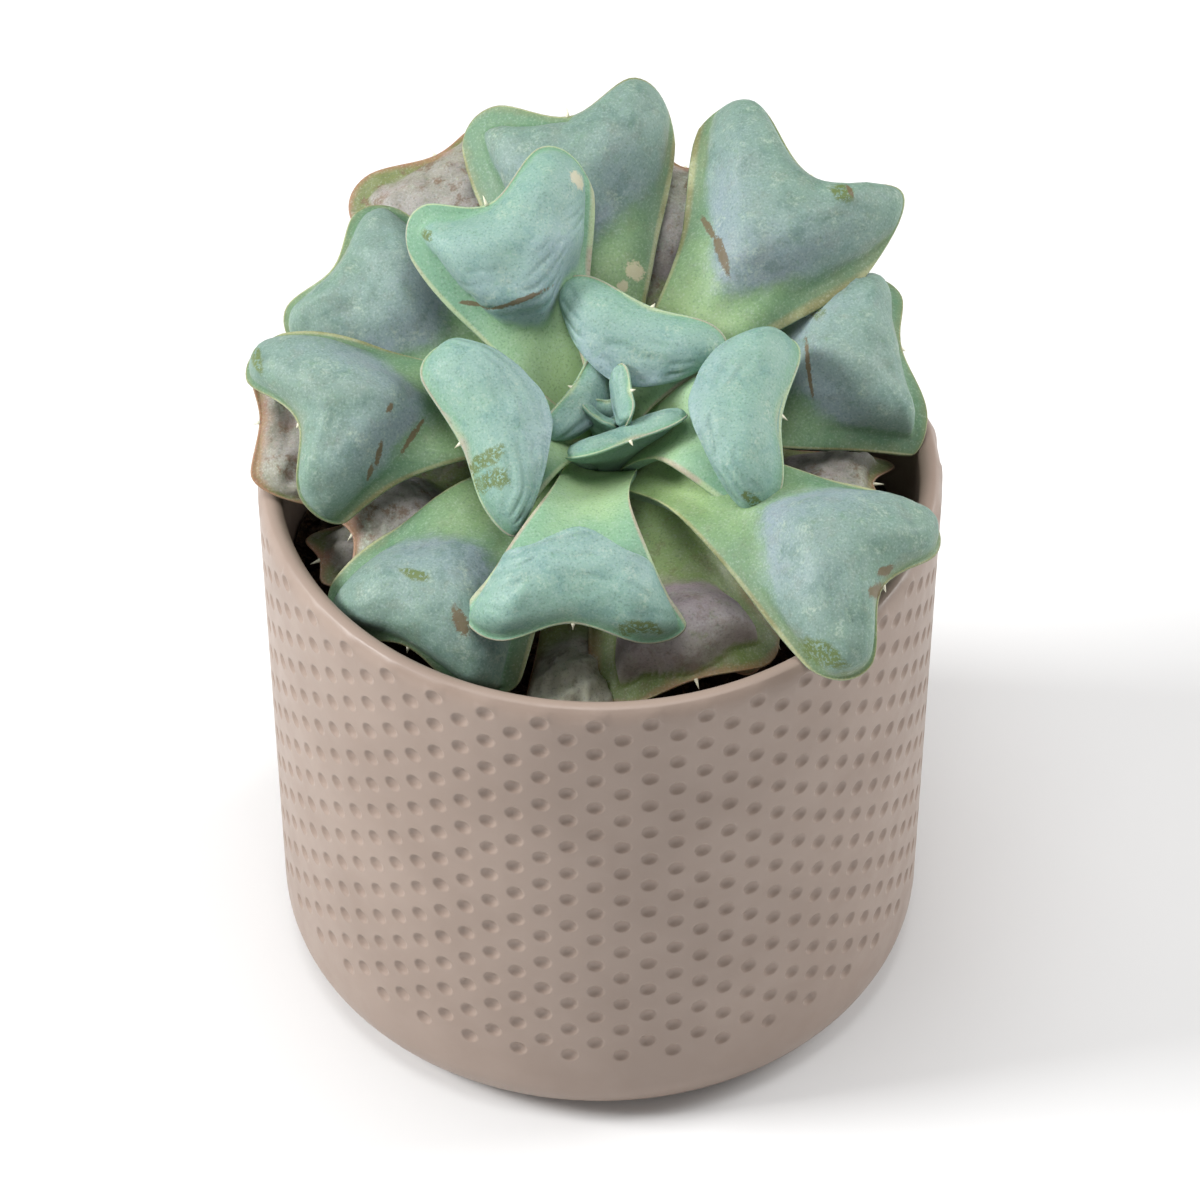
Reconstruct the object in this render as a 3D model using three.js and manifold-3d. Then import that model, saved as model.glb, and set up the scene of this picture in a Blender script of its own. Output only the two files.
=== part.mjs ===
// Potted blue heart echeveria: a dimpled pot, its soil, and a rosette of fleshy
// heart-shaped leaves on a short stem. Millimetres, +Z up. The origin is the centre
// of the pot's flat foot, and -Y is the side from which the rosette faces the viewer.

import * as THREE from 'three';
import { mergeVertices } from 'three/addons/utils/BufferGeometryUtils.js';
import Module from 'manifold-3d';

// Pot
const POT_HEIGHT = 112;
const POT_RIM_RADIUS = 62.5;
const POT_FOOT_RADIUS = 59;
const POT_WALL = 4.2;
const POT_FLOOR = 5;
const POT_CORNER = 10;
const CORNER_STEPS = 4;
const LIP_STEPS = 6;

// Dimples: columns round the wall, each half a pitch lower than the one before
const DIMPLE_COLUMNS = 78;
const DIMPLE_ROWS = 13;
const DIMPLE_PITCH = 7.15;
const DIMPLE_TOP_GAP = 3.6;
const DIMPLE_DEPTH = 0.72;
const DIMPLE_PHASE = -0.77;

// Soil, and the clearance between pieces that touch
const SOIL_LEVEL = 84;
const SOIL_MOUND = 2.5;
const SOIL_STEPS = 48;
const GAP = 0.3;

// Rosette: where the growing tip is, and how far its stem leans towards -Y
const TIP_X = 1.3;
const TIP_Y = 0;
const TIP_Z = 130;
const STEM_LEAN = 10;

// Stem: radius and height from the growing tip, from its foot in the soil upwards
const STEM_PROFILE = [
  [0, -66], [3.2, -66], [5.4, -62], [6.2, -56], [6.4, -44], [6.4, -30], [6.3, -22],
  [5.7, -19], [5.0, -17], [4.0, -16], [3.2, -15], [2.3, -14], [1.8, -12.5], [1.3, -11.2],
  [1.0, -10.3], [0, -10],
];
const STEM_STEPS = 20;

// Stations of a leaf's grid: across it, from the midrib to the edge, and along it,
// as shares of the stalk, of the cushion's inner wall and of the blade beyond it
const ACROSS = [0, 0.42, 0.72, 1];
const STALK_STATIONS = [0, 0.5];
const WALL_STATIONS = [0, 0.5];
const BLADE_STATIONS = [0, 0.45, 0.8, 1];

// Leaf form
const EDGE_THICKNESS = 0.9;
const HOLLOW_SHARE = 0.45;
const MIDRIB_STEPS = 120;
const MIDRIB_REACH = 1.35;
const BEND_REACH = 1.25;

const radians = THREE.MathUtils.degToRad;
const clamp = THREE.MathUtils.clamp;
const lerp = THREE.MathUtils.lerp;

function ease(value) {
  return THREE.MathUtils.smoothstep(value, 0, 1);
}

// Leaves, youngest first. turn: heading in degrees, anticlockwise from +X. root:
// distance from the stem's axis and height from the growing tip. rise: the midrib's
// slope at the root, half way and at the notch. half, lobe, shoulder and flange: the
// right side's size and the left side's, looking out along the leaf.
const TIP_LEAVES = [
  {
    turn: 315, root: [0.6, -10], rise: [85, 78, 70], length: 4.5,
    half: [2, 2], neck: 1.4, lobe: [0.3, 0.3], shoulder: [0.8, 0.8], flange: [0.6, 0.6],
    twist: 0, sweep: 0, cup: 20, roll: -20, thick: 1.2, flare: 1, lobeTop: 0.45,
    pillow: 1, fullness: 0.75, start: 0.4, steep: 0.25, arch: 0.18, archCurve: 2.2, lean: 0.3,
  },
  {
    turn: 92, root: [0.8, -10.3], rise: [86, 80, 72], length: 6.5,
    half: [3, 3], neck: 1.8, lobe: [0.5, 0.5], shoulder: [1.2, 1.2], flange: [0.6, 0.6],
    twist: 0, sweep: 0, cup: 20, roll: -20, thick: 1.4, flare: 1, lobeTop: 0.45,
    pillow: 1.2, fullness: 0.75, start: 0.4, steep: 0.25, arch: 0.18, archCurve: 2.2, lean: 0.3,
  },
  {
    turn: 230, root: [1.1, -10.6], rise: [84, 76, 68], length: 8,
    half: [4, 4], neck: 2, lobe: [0.7, 0.7], shoulder: [1.6, 1.6], flange: [0.6, 0.6],
    twist: 0, sweep: 0, cup: 20, roll: -20, thick: 1.6, flare: 1, lobeTop: 0.45,
    pillow: 1.4, fullness: 0.75, start: 0.4, steep: 0.25, arch: 0.18, archCurve: 2.2, lean: 0.3,
  },
];
const LEAVES = [
  {
    name: 'leaf_01', turn: 8, root: [1.7, -11], rise: [84, 80, 72], length: 12.5,
    half: [6.5, 6.5], neck: 2.6, lobe: [1, 1], shoulder: [2.2, 2.2], flange: [0.6, 0.6],
    twist: 0, sweep: 0, cup: 20, roll: -20, thick: 1.8, flare: 1, lobeTop: 0.45,
    pillow: 2, fullness: 0.75, start: 0.4, steep: 0.25, arch: 0.18, archCurve: 2.2, lean: 0.3,
    age: 'youngLeaf',
  },
  {
    name: 'leaf_02', turn: 150, root: [2.3, -11.5], rise: [78, 66, 45], length: 11,
    half: [10, 11], neck: 3, lobe: [0.4, 0.4], shoulder: [4, 5], flange: [0.6, 0.6],
    twist: 0, sweep: 0, cup: 22, roll: 10, thick: 2.1, flare: 1, lobeTop: 0.45,
    pillow: 2.6, fullness: 0.75, start: 0.25, steep: 0.25, arch: 0.18, archCurve: 2.2, lean: 0.4,
    age: 'youngLeaf',
  },
  {
    name: 'leaf_03', turn: 294, root: [2.9, -16], rise: [80, 68, 48], length: 17.5,
    half: [12, 12], neck: 4.2, lobe: [1.6, 1.6], shoulder: [3.2, 3.2], flange: [0.6, 0.6],
    twist: 0, sweep: 0, cup: 22, roll: -8, thick: 2.4, flare: 1, lobeTop: 0.45,
    pillow: 2.6, fullness: 0.75, start: 0.45, steep: 0.25, arch: 0.35, archCurve: 2.2, lean: 0.4,
    age: 'youngLeaf',
  },
  {
    name: 'leaf_04', turn: 65, root: [3.4, -13.5], rise: [68, 50, 26], length: 24,
    half: [16, 19], neck: 4.6, lobe: [1.5, 1.5], shoulder: [5, 5], flange: [0.6, 0.6],
    twist: 6, sweep: 0, cup: 22, roll: 25, thick: 2.4, flare: 1.6, lobeTop: 0.45,
    pillow: 5, fullness: 0.6, start: 0.45, steep: 0.09, arch: 0.35, archCurve: 2.8, lean: 0.6,
    age: 'youngLeaf',
  },
  {
    name: 'leaf_05', turn: 201, root: [3.9, -14], rise: [58, 42, -2], length: 31,
    half: [19.5, 19.5], neck: 5.2, lobe: [0.5, 2.5], shoulder: [8, 6], flange: [0.6, 0.6],
    twist: -20, sweep: 8, cup: 22, roll: 12, thick: 2.6, flare: 1.8, lobeTop: 0.45,
    pillow: 7, fullness: 0.6, start: 0.55, steep: 0.1, arch: 0.45, archCurve: 2.8, lean: 0.55,
    age: 'youngLeaf',
  },
  {
    name: 'leaf_06', turn: 348, root: [4.4, -14.5], rise: [54, 42, 2], length: 34,
    half: [19.5, 19.5], neck: 5.6, lobe: [2.4, 1.2], shoulder: [8, 5], flange: [0.6, 0.6],
    twist: 10, sweep: 2, cup: 22, roll: 32, thick: 2.8, flare: 1.8, lobeTop: 0.45,
    pillow: 7.5, fullness: 0.6, start: 0.6, steep: 0.1, arch: 0.36, archCurve: 2.8, lean: 0.55,
    age: 'youngLeaf',
  },
  {
    name: 'leaf_07', turn: 127, root: [4.8, -15], rise: [50, 38, 26], length: 45.5,
    half: [21.3, 16.8], neck: 6, lobe: [8, 4.1], shoulder: [12.5, 7.5], flange: [0.8, 3],
    twist: -6, sweep: -13, cup: 25, roll: 32, thick: 3, flare: 1.5, lobeTop: 0.45,
    pillow: 7, fullness: 0.75, start: 0.44, steep: 0.2, arch: 0.12, archCurve: 2.2, lean: 0.2,
    age: 'youngLeaf',
  },
  {
    name: 'leaf_08', turn: 261, root: [5.2, -15.5], rise: [46, 33, -34], length: 47.5,
    half: [21.5, 21.5], neck: 6.5, lobe: [4.4, 3.6], shoulder: [6.6, 5.4], flange: [0.8, 0.8],
    twist: 0, sweep: 5, cup: 25, roll: 38, thick: 3.2, flare: 3.2, lobeTop: 0.45,
    pillow: 6.5, fullness: 0.75, start: 0.69, steep: 0.07, arch: 0, archCurve: 2.2, lean: 0.5,
    age: 'youngLeaf',
  },
  {
    name: 'leaf_09', turn: 47, root: [5.5, -15.2], rise: [40, 27, 2], length: 58.5,
    half: [19.5, 25], neck: 6.5, lobe: [10, 11], shoulder: [19, 11], flange: [0.8, 0.8],
    twist: 10, sweep: 10, cup: 22, roll: 35, thick: 3.4, flare: 1.9, lobeTop: 0.55,
    pillow: 5, fullness: 0.75, start: 0.45, steep: 0.3, arch: 0.18, archCurve: 2.2, lean: 0,
    age: 'grownLeaf',
  },
  {
    name: 'leaf_10', turn: 182, root: [5.8, -16], rise: [36, 32, -22], length: 54.5,
    half: [21, 20], neck: 6.5, lobe: [7, 6.6], shoulder: [7.2, 8.8], flange: [1, 1],
    twist: -20, sweep: 8, cup: 25, roll: 40, thick: 3.2, flare: 2, lobeTop: 0.45,
    pillow: 6, fullness: 0.75, start: 0.5, steep: 0.3, arch: 0.18, archCurve: 2.2, lean: 0.2,
    age: 'grownLeaf',
  },
  {
    name: 'leaf_11', turn: 319, root: [6.1, -17], rise: [35, 28, -22], length: 61.5,
    half: [20.5, 20.5], neck: 6.5, lobe: [7.5, 4.5], shoulder: [9.3, 7.7], flange: [0.8, 0.8],
    twist: 4, sweep: 8, cup: 25, roll: 32, thick: 3.2, flare: 1.6, lobeTop: 0.45,
    pillow: 6, fullness: 0.75, start: 0.5, steep: 0.3, arch: 0.18, archCurve: 2.2, lean: 0.2,
    age: 'grownLeaf',
  },
  {
    name: 'leaf_12', turn: 98, root: [6.4, -18], rise: [34, 29, 14], length: 58.5,
    half: [20.2, 21.5], neck: 6.5, lobe: [7.8, 5], shoulder: [13, 7], flange: [0.6, 4.5],
    twist: -6, sweep: -3, cup: 25, roll: 35, thick: 3.2, flare: 1.3, lobeTop: 0.45,
    pillow: 5, fullness: 0.75, start: 0.5, steep: 0.3, arch: 0.18, archCurve: 2.2, lean: 0,
    age: 'grownLeaf',
  },
  {
    name: 'leaf_13', turn: 228, root: [6.6, -19], rise: [27, 21, -46], length: 52.5,
    half: [21.3, 21.3], neck: 6.5, lobe: [5.5, 4.5], shoulder: [8, 9], flange: [3, 2.5],
    twist: -8, sweep: 6, cup: 25, roll: 40, thick: 3.2, flare: 1, lobeTop: 0.45,
    pillow: 6, fullness: 0.75, start: 0.5, steep: 0.3, arch: 0.18, archCurve: 2.2, lean: 0.2,
    age: 'grownLeaf',
  },
  {
    name: 'leaf_14', turn: 18, root: [6.8, -20], rise: [29, 27, -18], length: 52.5,
    half: [20, 20.5], neck: 6.5, lobe: [4, 4.5], shoulder: [4, 7], flange: [3.5, 2.5],
    twist: 14, sweep: 0, cup: 25, roll: 42, thick: 3.2, flare: 1, lobeTop: 0.45,
    pillow: 6, fullness: 0.75, start: 0.5, steep: 0.3, arch: 0.18, archCurve: 2.2, lean: 0.2,
    age: 'grownLeaf',
  },
  {
    name: 'leaf_15', turn: 146, root: [7, -21], rise: [27, 17, -7], length: 57,
    half: [18, 18], neck: 6.5, lobe: [4.3, 5.7], shoulder: [6.8, 9.2], flange: [2, 1.5],
    twist: -24, sweep: -6, cup: 25, roll: 45, thick: 3.2, flare: 1, lobeTop: 0.45,
    pillow: 5, fullness: 0.75, start: 0.5, steep: 0.3, arch: 0.18, archCurve: 2.2, lean: 0.3,
    age: 'grownLeaf',
  },
  {
    name: 'leaf_16', turn: 289, root: [7, -22], rise: [15, 10, -27], length: 43,
    half: [19, 19], neck: 6.5, lobe: [1, 1], shoulder: [9, 9], flange: [4.5, 4.5],
    twist: 8, sweep: 0, cup: 25, roll: 40, thick: 3.2, flare: 1, lobeTop: 0.45,
    pillow: 6, fullness: 0.75, start: 0.5, steep: 0.3, arch: 0.18, archCurve: 2.2, lean: 0.3,
    age: 'grownLeaf',
  },
  {
    name: 'leaf_17', turn: 76, root: [7, -23], rise: [26, 20, 5], length: 55,
    half: [13, 13], neck: 6, lobe: [5, 5], shoulder: [8, 8], flange: [1, 1],
    twist: 0, sweep: 0, cup: 25, roll: 40, thick: 3.2, flare: 1, lobeTop: 0.45,
    pillow: 4, fullness: 0.75, start: 0.5, steep: 0.25, arch: 0.18, archCurve: 2.2, lean: 0.3,
    age: 'oldLeaf',
  },
  {
    name: 'leaf_18', turn: 200, root: [7, -24], rise: [22, 8, -10], length: 43,
    half: [12, 12], neck: 6, lobe: [3, 3], shoulder: [5, 5], flange: [0.6, 0.6],
    twist: -6, sweep: 0, cup: 20, roll: 30, thick: 2.8, flare: 1, lobeTop: 0.45,
    pillow: 4, fullness: 0.75, start: 0.5, steep: 0.25, arch: 0.18, archCurve: 2.2, lean: 0.3,
    age: 'oldLeaf',
  },
  {
    name: 'leaf_19', turn: 356, root: [7, -25], rise: [14, 7, -8], length: 42,
    half: [10, 10], neck: 6, lobe: [4, 4], shoulder: [6, 6], flange: [3, 3],
    twist: -10, sweep: 0, cup: 20, roll: 30, thick: 2.8, flare: 1, lobeTop: 0.45,
    pillow: 3, fullness: 0.75, start: 0.5, steep: 0.25, arch: 0.18, archCurve: 2.2, lean: 0.3,
    age: 'oldLeaf',
  },
  {
    name: 'leaf_20', turn: 115, root: [7, -26], rise: [22, 17, -4], length: 67,
    half: [18, 20], neck: 6, lobe: [4, 4], shoulder: [8, 8], flange: [1.5, 4],
    twist: 0, sweep: 4, cup: 20, roll: 30, thick: 2.6, flare: 1, lobeTop: 0.45,
    pillow: 3, fullness: 0.75, start: 0.5, steep: 0.25, arch: 0.18, archCurve: 2.2, lean: 0.3,
    age: 'oldLeaf',
  },
  {
    name: 'leaf_21', turn: 262, root: [7, -26], rise: [1, -6, -8], length: 49,
    half: [9, 9], neck: 6, lobe: [2, 2], shoulder: [5, 5], flange: [0.6, 0.6],
    twist: 0, sweep: 0, cup: 20, roll: 30, thick: 2.4, flare: 1, lobeTop: 0.45,
    pillow: 3, fullness: 0.75, start: 0.5, steep: 0.25, arch: 0.18, archCurve: 2.2, lean: 0.3,
    age: 'oldLeaf',
  },
  {
    name: 'leaf_22', turn: 178, root: [7, -28], rise: [24, 23, 5], length: 59,
    half: [15, 15], neck: 6, lobe: [2, 1], shoulder: [6, 15], flange: [1, 1],
    twist: -8, sweep: 0, cup: 20, roll: 20, thick: 2.4, flare: 1, lobeTop: 0.45,
    pillow: 3, fullness: 0.75, start: 0.5, steep: 0.25, arch: 0.18, archCurve: 2.2, lean: 0.3,
    age: 'oldLeaf',
  },
  {
    name: 'leaf_23', turn: 198, root: [7, -29], rise: [6, 2, 0], length: 48,
    half: [8, 6], neck: 6, lobe: [1, 1], shoulder: [5, 5], flange: [3, 2.5],
    twist: 0, sweep: 0, cup: 20, roll: 30, thick: 2.4, flare: 1, lobeTop: 0.45,
    pillow: 3, fullness: 0.75, start: 0.5, steep: 0.25, arch: 0.18, archCurve: 2.2, lean: 0.3,
    age: 'oldLeaf',
  },
  {
    name: 'leaf_24', turn: 40, root: [7, -29], rise: [8, 2, -10], length: 39,
    half: [11, 11], neck: 6, lobe: [3, 3], shoulder: [6, 6], flange: [0.6, 0.6],
    twist: 0, sweep: 0, cup: 20, roll: 30, thick: 2.4, flare: 1, lobeTop: 0.45,
    pillow: 3, fullness: 0.75, start: 0.5, steep: 0.25, arch: 0.18, archCurve: 2.2, lean: 0.3,
    age: 'oldLeaf',
  },
  {
    name: 'leaf_25', turn: 96, root: [7, -30], rise: [4, 0, -10], length: 38.5,
    half: [11, 11], neck: 6, lobe: [3, 3], shoulder: [6, 6], flange: [0.6, 0.6],
    twist: 0, sweep: 0, cup: 20, roll: 30, thick: 2.4, flare: 1, lobeTop: 0.45,
    pillow: 3, fullness: 0.75, start: 0.5, steep: 0.25, arch: 0.18, archCurve: 2.2, lean: 0.3,
    age: 'oldLeaf',
  },
  {
    name: 'leaf_26', turn: 312, root: [7, -30], rise: [12, 5, -8], length: 39,
    half: [10, 10], neck: 6, lobe: [2, 2], shoulder: [6, 6], flange: [0.6, 0.6],
    twist: 0, sweep: 0, cup: 20, roll: 30, thick: 2.4, flare: 1, lobeTop: 0.45,
    pillow: 3, fullness: 0.75, start: 0.5, steep: 0.25, arch: 0.18, archCurve: 2.2, lean: 0.3,
    age: 'oldLeaf',
  },
];

// Geometry from a grid of points. Doubled points are merged and triangles that have
// shrunk to a line are left out.
function closedGeometry(points, triangles) {
  const loose = new THREE.BufferGeometry();
  const positions = points.flatMap((point) => [point.x, point.y, point.z]);
  loose.setAttribute('position', new THREE.Float32BufferAttribute(positions, 3));
  loose.setIndex(triangles.flat());
  const merged = mergeVertices(loose, 1e-3);
  const index = Array.from(merged.index.array);
  const kept = [];
  for (let i = 0; i < index.length; i += 3) {
    const [a, b, c] = index.slice(i, i + 3);
    if (a !== b && b !== c && c !== a) {
      kept.push(a, b, c);
    }
  }
  merged.setIndex(kept);
  return merged;
}

function potRadius(z) {
  return lerp(POT_FOOT_RADIUS, POT_RIM_RADIUS, z / POT_HEIGHT);
}

// How far the foot's rounded corner draws the wall in
function cornerInset(z) {
  const below = clamp((POT_CORNER - z) / POT_CORNER, 0, 1);
  return POT_CORNER * (1 - Math.sqrt(1 - below * below));
}

// The pot's section, from the middle of the foot up the outside and down the inside.
// Each station says which columns are dimpled there: even (0), odd (1) or none (-1).
function potSection() {
  const section = [{ radius: 0, z: 0, dimpled: -1 }];
  for (let i = 0; i <= CORNER_STEPS; i += 1) {
    const z = POT_CORNER * (1 - Math.cos((Math.PI / 2) * (i / CORNER_STEPS)));
    section.push({ radius: potRadius(z) - cornerInset(z), z, dimpled: -1 });
  }
  const halfRows = DIMPLE_ROWS * 2;
  for (let row = halfRows; row >= 0; row -= 1) {
    const z = POT_HEIGHT - DIMPLE_TOP_GAP - (DIMPLE_PITCH / 2) * row;
    section.push({ radius: potRadius(z), z, dimpled: row === halfRows ? -1 : row % 2 });
  }
  const lipRound = POT_WALL / 2;
  const lipRadius = potRadius(POT_HEIGHT - lipRound) - lipRound;
  for (let i = 0; i <= LIP_STEPS; i += 1) {
    const angle = (Math.PI * i) / LIP_STEPS;
    const radius = lipRadius + lipRound * Math.cos(angle);
    section.push({ radius, z: POT_HEIGHT - lipRound + lipRound * Math.sin(angle), dimpled: -1 });
  }
  const innerFoot = POT_FLOOR + POT_CORNER / 2;
  section.push({ radius: potRadius(innerFoot) - POT_WALL, z: innerFoot, dimpled: -1 });
  section.push({ radius: potRadius(POT_FLOOR) - POT_WALL - POT_CORNER / 2, z: POT_FLOOR, dimpled: -1 });
  section.push({ radius: 0, z: POT_FLOOR, dimpled: -1 });
  return section;
}

// Round wall with a staggered net of pits: each quad is split between its two points
// that aren't pits, so a pit is a clean four-sided hollow
function potGeometry() {
  const section = potSection();
  const points = [];
  section.forEach(({ radius, z, dimpled }) => {
    for (let column = 0; column < DIMPLE_COLUMNS; column += 1) {
      const angle = radians(DIMPLE_PHASE + (360 * column) / DIMPLE_COLUMNS);
      const depth = column % 2 === dimpled ? DIMPLE_DEPTH : 0;
      const reach = radius - depth;
      points.push(new THREE.Vector3(reach * Math.sin(angle), -reach * Math.cos(angle), z));
    }
  });
  const triangles = [];
  for (let row = 0; row + 1 < section.length; row += 1) {
    for (let column = 0; column < DIMPLE_COLUMNS; column += 1) {
      const next = (column + 1) % DIMPLE_COLUMNS;
      const a = row * DIMPLE_COLUMNS + column;
      const b = row * DIMPLE_COLUMNS + next;
      const c = b + DIMPLE_COLUMNS;
      const d = a + DIMPLE_COLUMNS;
      const lowPit = section[row].dimpled === column % 2;
      const highPit = section[row + 1].dimpled === next % 2;
      if (lowPit || highPit) {
        triangles.push([a, b, d], [b, c, d]);
      } else {
        triangles.push([a, b, c], [a, c, d]);
      }
    }
  }
  return closedGeometry(points, triangles);
}

// Points and axes at every step of a leaf's midrib
function midrib(leaf) {
  const [slope0, slope1, slope2] = leaf.rise.map(radians);
  const turn = radians(leaf.turn);
  const step = (leaf.length * MIDRIB_REACH) / MIDRIB_STEPS;
  const point = new THREE.Vector3(
    leaf.root[0] * Math.cos(turn), leaf.root[0] * Math.sin(turn), leaf.root[1]);
  const stations = [];
  for (let i = 0; i <= MIDRIB_STEPS; i += 1) {
    const t = (i * step) / leaf.length;
    const bend = Math.min(t, BEND_REACH);
    const slope = (1 - bend) ** 2 * slope0 + 2 * bend * (1 - bend) * slope1 + bend ** 2 * slope2;
    const heading = turn + radians(leaf.sweep) * bend * bend;
    const along = new THREE.Vector3(
      Math.cos(slope) * Math.cos(heading), Math.cos(slope) * Math.sin(heading), Math.sin(slope));
    const side = new THREE.Vector3(-Math.sin(heading), Math.cos(heading), 0);
    const twist = radians(leaf.twist) * ease(t);
    side.applyAxisAngle(along, twist);
    const normal = new THREE.Vector3().crossVectors(along, side);
    if (i > 0) {
      const last = stations[i - 1];
      point.addScaledVector(last.along, step / 2).addScaledVector(along, step / 2);
    }
    stations.push({ point: point.clone(), along, side, normal });
  }
  return (distance) => {
    const place = clamp(distance / step, 0, MIDRIB_STEPS - 1e-6);
    const i = Math.floor(place);
    const share = place - i;
    const mix = (key) => stations[i][key].clone().lerp(stations[i + 1][key], share);
    return { point: mix('point'), along: mix('along'), side: mix('side'), normal: mix('normal') };
  };
}

// Where the cushion's inner wall starts, as a share of the leaf
function cushionFoot(leaf, v) {
  return leaf.start + leaf.arch * Math.abs(v) ** leaf.archCurve;
}

// Upper and lower point of a leaf at u along it and v across it, -1 to 1. grow adds to
// its edges and faces, for the room that a neighbour leaves.
function leafPoints(leaf, midribAt, u, v, grow) {
  const t = Math.abs(v);
  const side = v < 0 ? 0 : 1;
  const past = clamp((t - leaf.lobeTop) / (1 - leaf.lobeTop), 0, 1);
  const end = leaf.length + leaf.lobe[side] * ease(t / leaf.lobeTop)
    - leaf.shoulder[side] * (1 - Math.cos((Math.PI / 2) * past));
  const widening = (0.35 * u + 0.65 * ease(u)) ** leaf.flare;
  const width = lerp(leaf.neck, leaf.half[side], widening);
  const outwards = Math.sin((Math.PI / 2) * t);
  const x = (width + grow) * outwards * Math.sign(v);

  const blade = ease((u - leaf.start + 0.25) / 0.45);
  const roll = radians(lerp(-leaf.cup, leaf.roll, blade));
  const bend = (Math.abs(roll) < 1e-4 ? 1e-4 : roll) / width;
  const across = Math.sin(bend * x) / bend;
  const drop = (1 - Math.cos(bend * x)) / bend;

  const crest = cushionFoot(leaf, v) + leaf.steep;
  const flange = leaf.flange[side];
  const outer = 1 - (flange * lerp(0.25, 1, ease(t / 0.35))) / end;
  const beyond = clamp((u - crest) / Math.max(outer - crest, 0.02), 0, 1);
  const swell = ease((u - crest) / leaf.steep + 1) * (1 - beyond ** 3.4) ** leaf.fullness;
  const inset = clamp(outwards / Math.max(1 - flange / width, 0.4), 0, 1);
  const height = leaf.pillow * swell * (1 - inset ** 4.5) ** 0.62;

  const core = (leaf.thick - EDGE_THICKNESS) * (1 - t ** 4) * (1 - u ** 6);
  const thickness = EDGE_THICKNESS + core;
  const frame = midribAt(u * end + grow * (2 * u - 1));
  const middle = frame.point.addScaledVector(frame.side, across);
  const top = middle.clone().addScaledVector(frame.normal, height - drop + grow);
  top.addScaledVector(frame.along, -leaf.lean * height);
  const under = HOLLOW_SHARE * height - drop - thickness - grow;
  const bottom = middle.clone().addScaledVector(frame.normal, under);
  return { top, bottom };
}

// How far along the leaf each row of its grid lies, for a given place across it
function leafRows(leaf, v) {
  const foot = Math.min(cushionFoot(leaf, v), 0.93);
  const crest = Math.min(foot + leaf.steep, 0.97);
  return [
    ...STALK_STATIONS.map((share) => share * foot),
    ...WALL_STATIONS.map((share) => lerp(foot, crest, share)),
    ...BLADE_STATIONS.map((share) => lerp(crest, 1, share)),
  ];
}

// Closed leaf: a grid of upper points and the same grid underneath, split alike and
// joined round the edge
function leafGeometry(leaf, grow = 0) {
  const acrossLeaf = [...ACROSS.slice(1).reverse().map((v) => -v), ...ACROSS];
  const columns = acrossLeaf.length;
  const rows = leafRows(leaf, 0).length;
  const midribAt = midrib(leaf);
  const tops = [];
  const bottoms = [];
  for (let row = 0; row < rows; row += 1) {
    acrossLeaf.forEach((v) => {
      const { top, bottom } = leafPoints(leaf, midribAt, leafRows(leaf, v)[row], v, grow);
      tops.push(top);
      bottoms.push(bottom);
    });
  }
  const under = tops.length;
  const triangles = [];
  const quad = (a, b, c, d, flip) => {
    triangles.push(...(flip ? [[a, b, d], [b, c, d]] : [[a, b, c], [a, c, d]]));
  };
  for (let row = 0; row + 1 < rows; row += 1) {
    for (let column = 0; column + 1 < columns; column += 1) {
      const a = row * columns + column;
      const b = a + columns;
      const flip = column < columns / 2 - 1;
      quad(a, b, b + 1, a + 1, flip);
      quad(under + a, under + a + 1, under + b + 1, under + b, flip);
    }
  }
  for (let row = 0; row + 1 < rows; row += 1) {
    const right = row * columns;
    const left = right + columns - 1;
    quad(right, under + right, under + right + columns, right + columns, false);
    quad(left, left + columns, under + left + columns, under + left, false);
  }
  for (let column = 0; column + 1 < columns; column += 1) {
    const far = (rows - 1) * columns + column;
    quad(column, column + 1, under + column + 1, under + column, false);
    quad(far, under + far, under + far + 1, far + 1, false);
  }
  return closedGeometry([...tops, ...bottoms], triangles);
}

// Solid for cutting and joining, and back again
const wasm = await Module();
wasm.setup();

function toSolid(geometry) {
  const vertProperties = new Float32Array(geometry.attributes.position.array);
  const triVerts = new Uint32Array(geometry.index.array);
  return new wasm.Manifold(new wasm.Mesh({ numProp: 3, vertProperties, triVerts }));
}

function toGeometry(solid) {
  const mesh = solid.getMesh();
  const geometry = new THREE.BufferGeometry();
  geometry.setAttribute('position', new THREE.BufferAttribute(mesh.vertProperties, 3));
  geometry.setIndex(Array.from(mesh.triVerts));
  return geometry;
}

// A cut may leave loose scraps: the largest body is the piece
function largestBody(solid) {
  const bodies = solid.decompose();
  return bodies.reduce((best, body) => (body.volume() > best.volume() ? body : best));
}

// Solid of revolution about +Z from radius and height pairs
function turnedGeometry(profile, steps) {
  const outline = profile.map(([radius, height]) => new THREE.Vector2(radius, height));
  const turned = new THREE.LatheGeometry(outline, steps);
  turned.rotateX(Math.PI / 2);
  turned.deleteAttribute('normal');
  turned.deleteAttribute('uv');
  const position = turned.attributes.position;
  const points = [];
  for (let i = 0; i < position.count; i += 1) {
    points.push(new THREE.Vector3().fromBufferAttribute(position, i));
  }
  const triangles = [];
  for (let i = 0; i < turned.index.count; i += 3) {
    triangles.push([0, 1, 2].map((corner) => turned.index.getX(i + corner)));
  }
  return closedGeometry(points, triangles);
}

// From the rosette's own frame, tip at the origin and stem along Z, to the pot's
const rosettePlace = new THREE.Matrix4()
  .makeTranslation(TIP_X, TIP_Y, TIP_Z)
  .multiply(new THREE.Matrix4().makeRotationX(radians(STEM_LEAN)));

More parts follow.
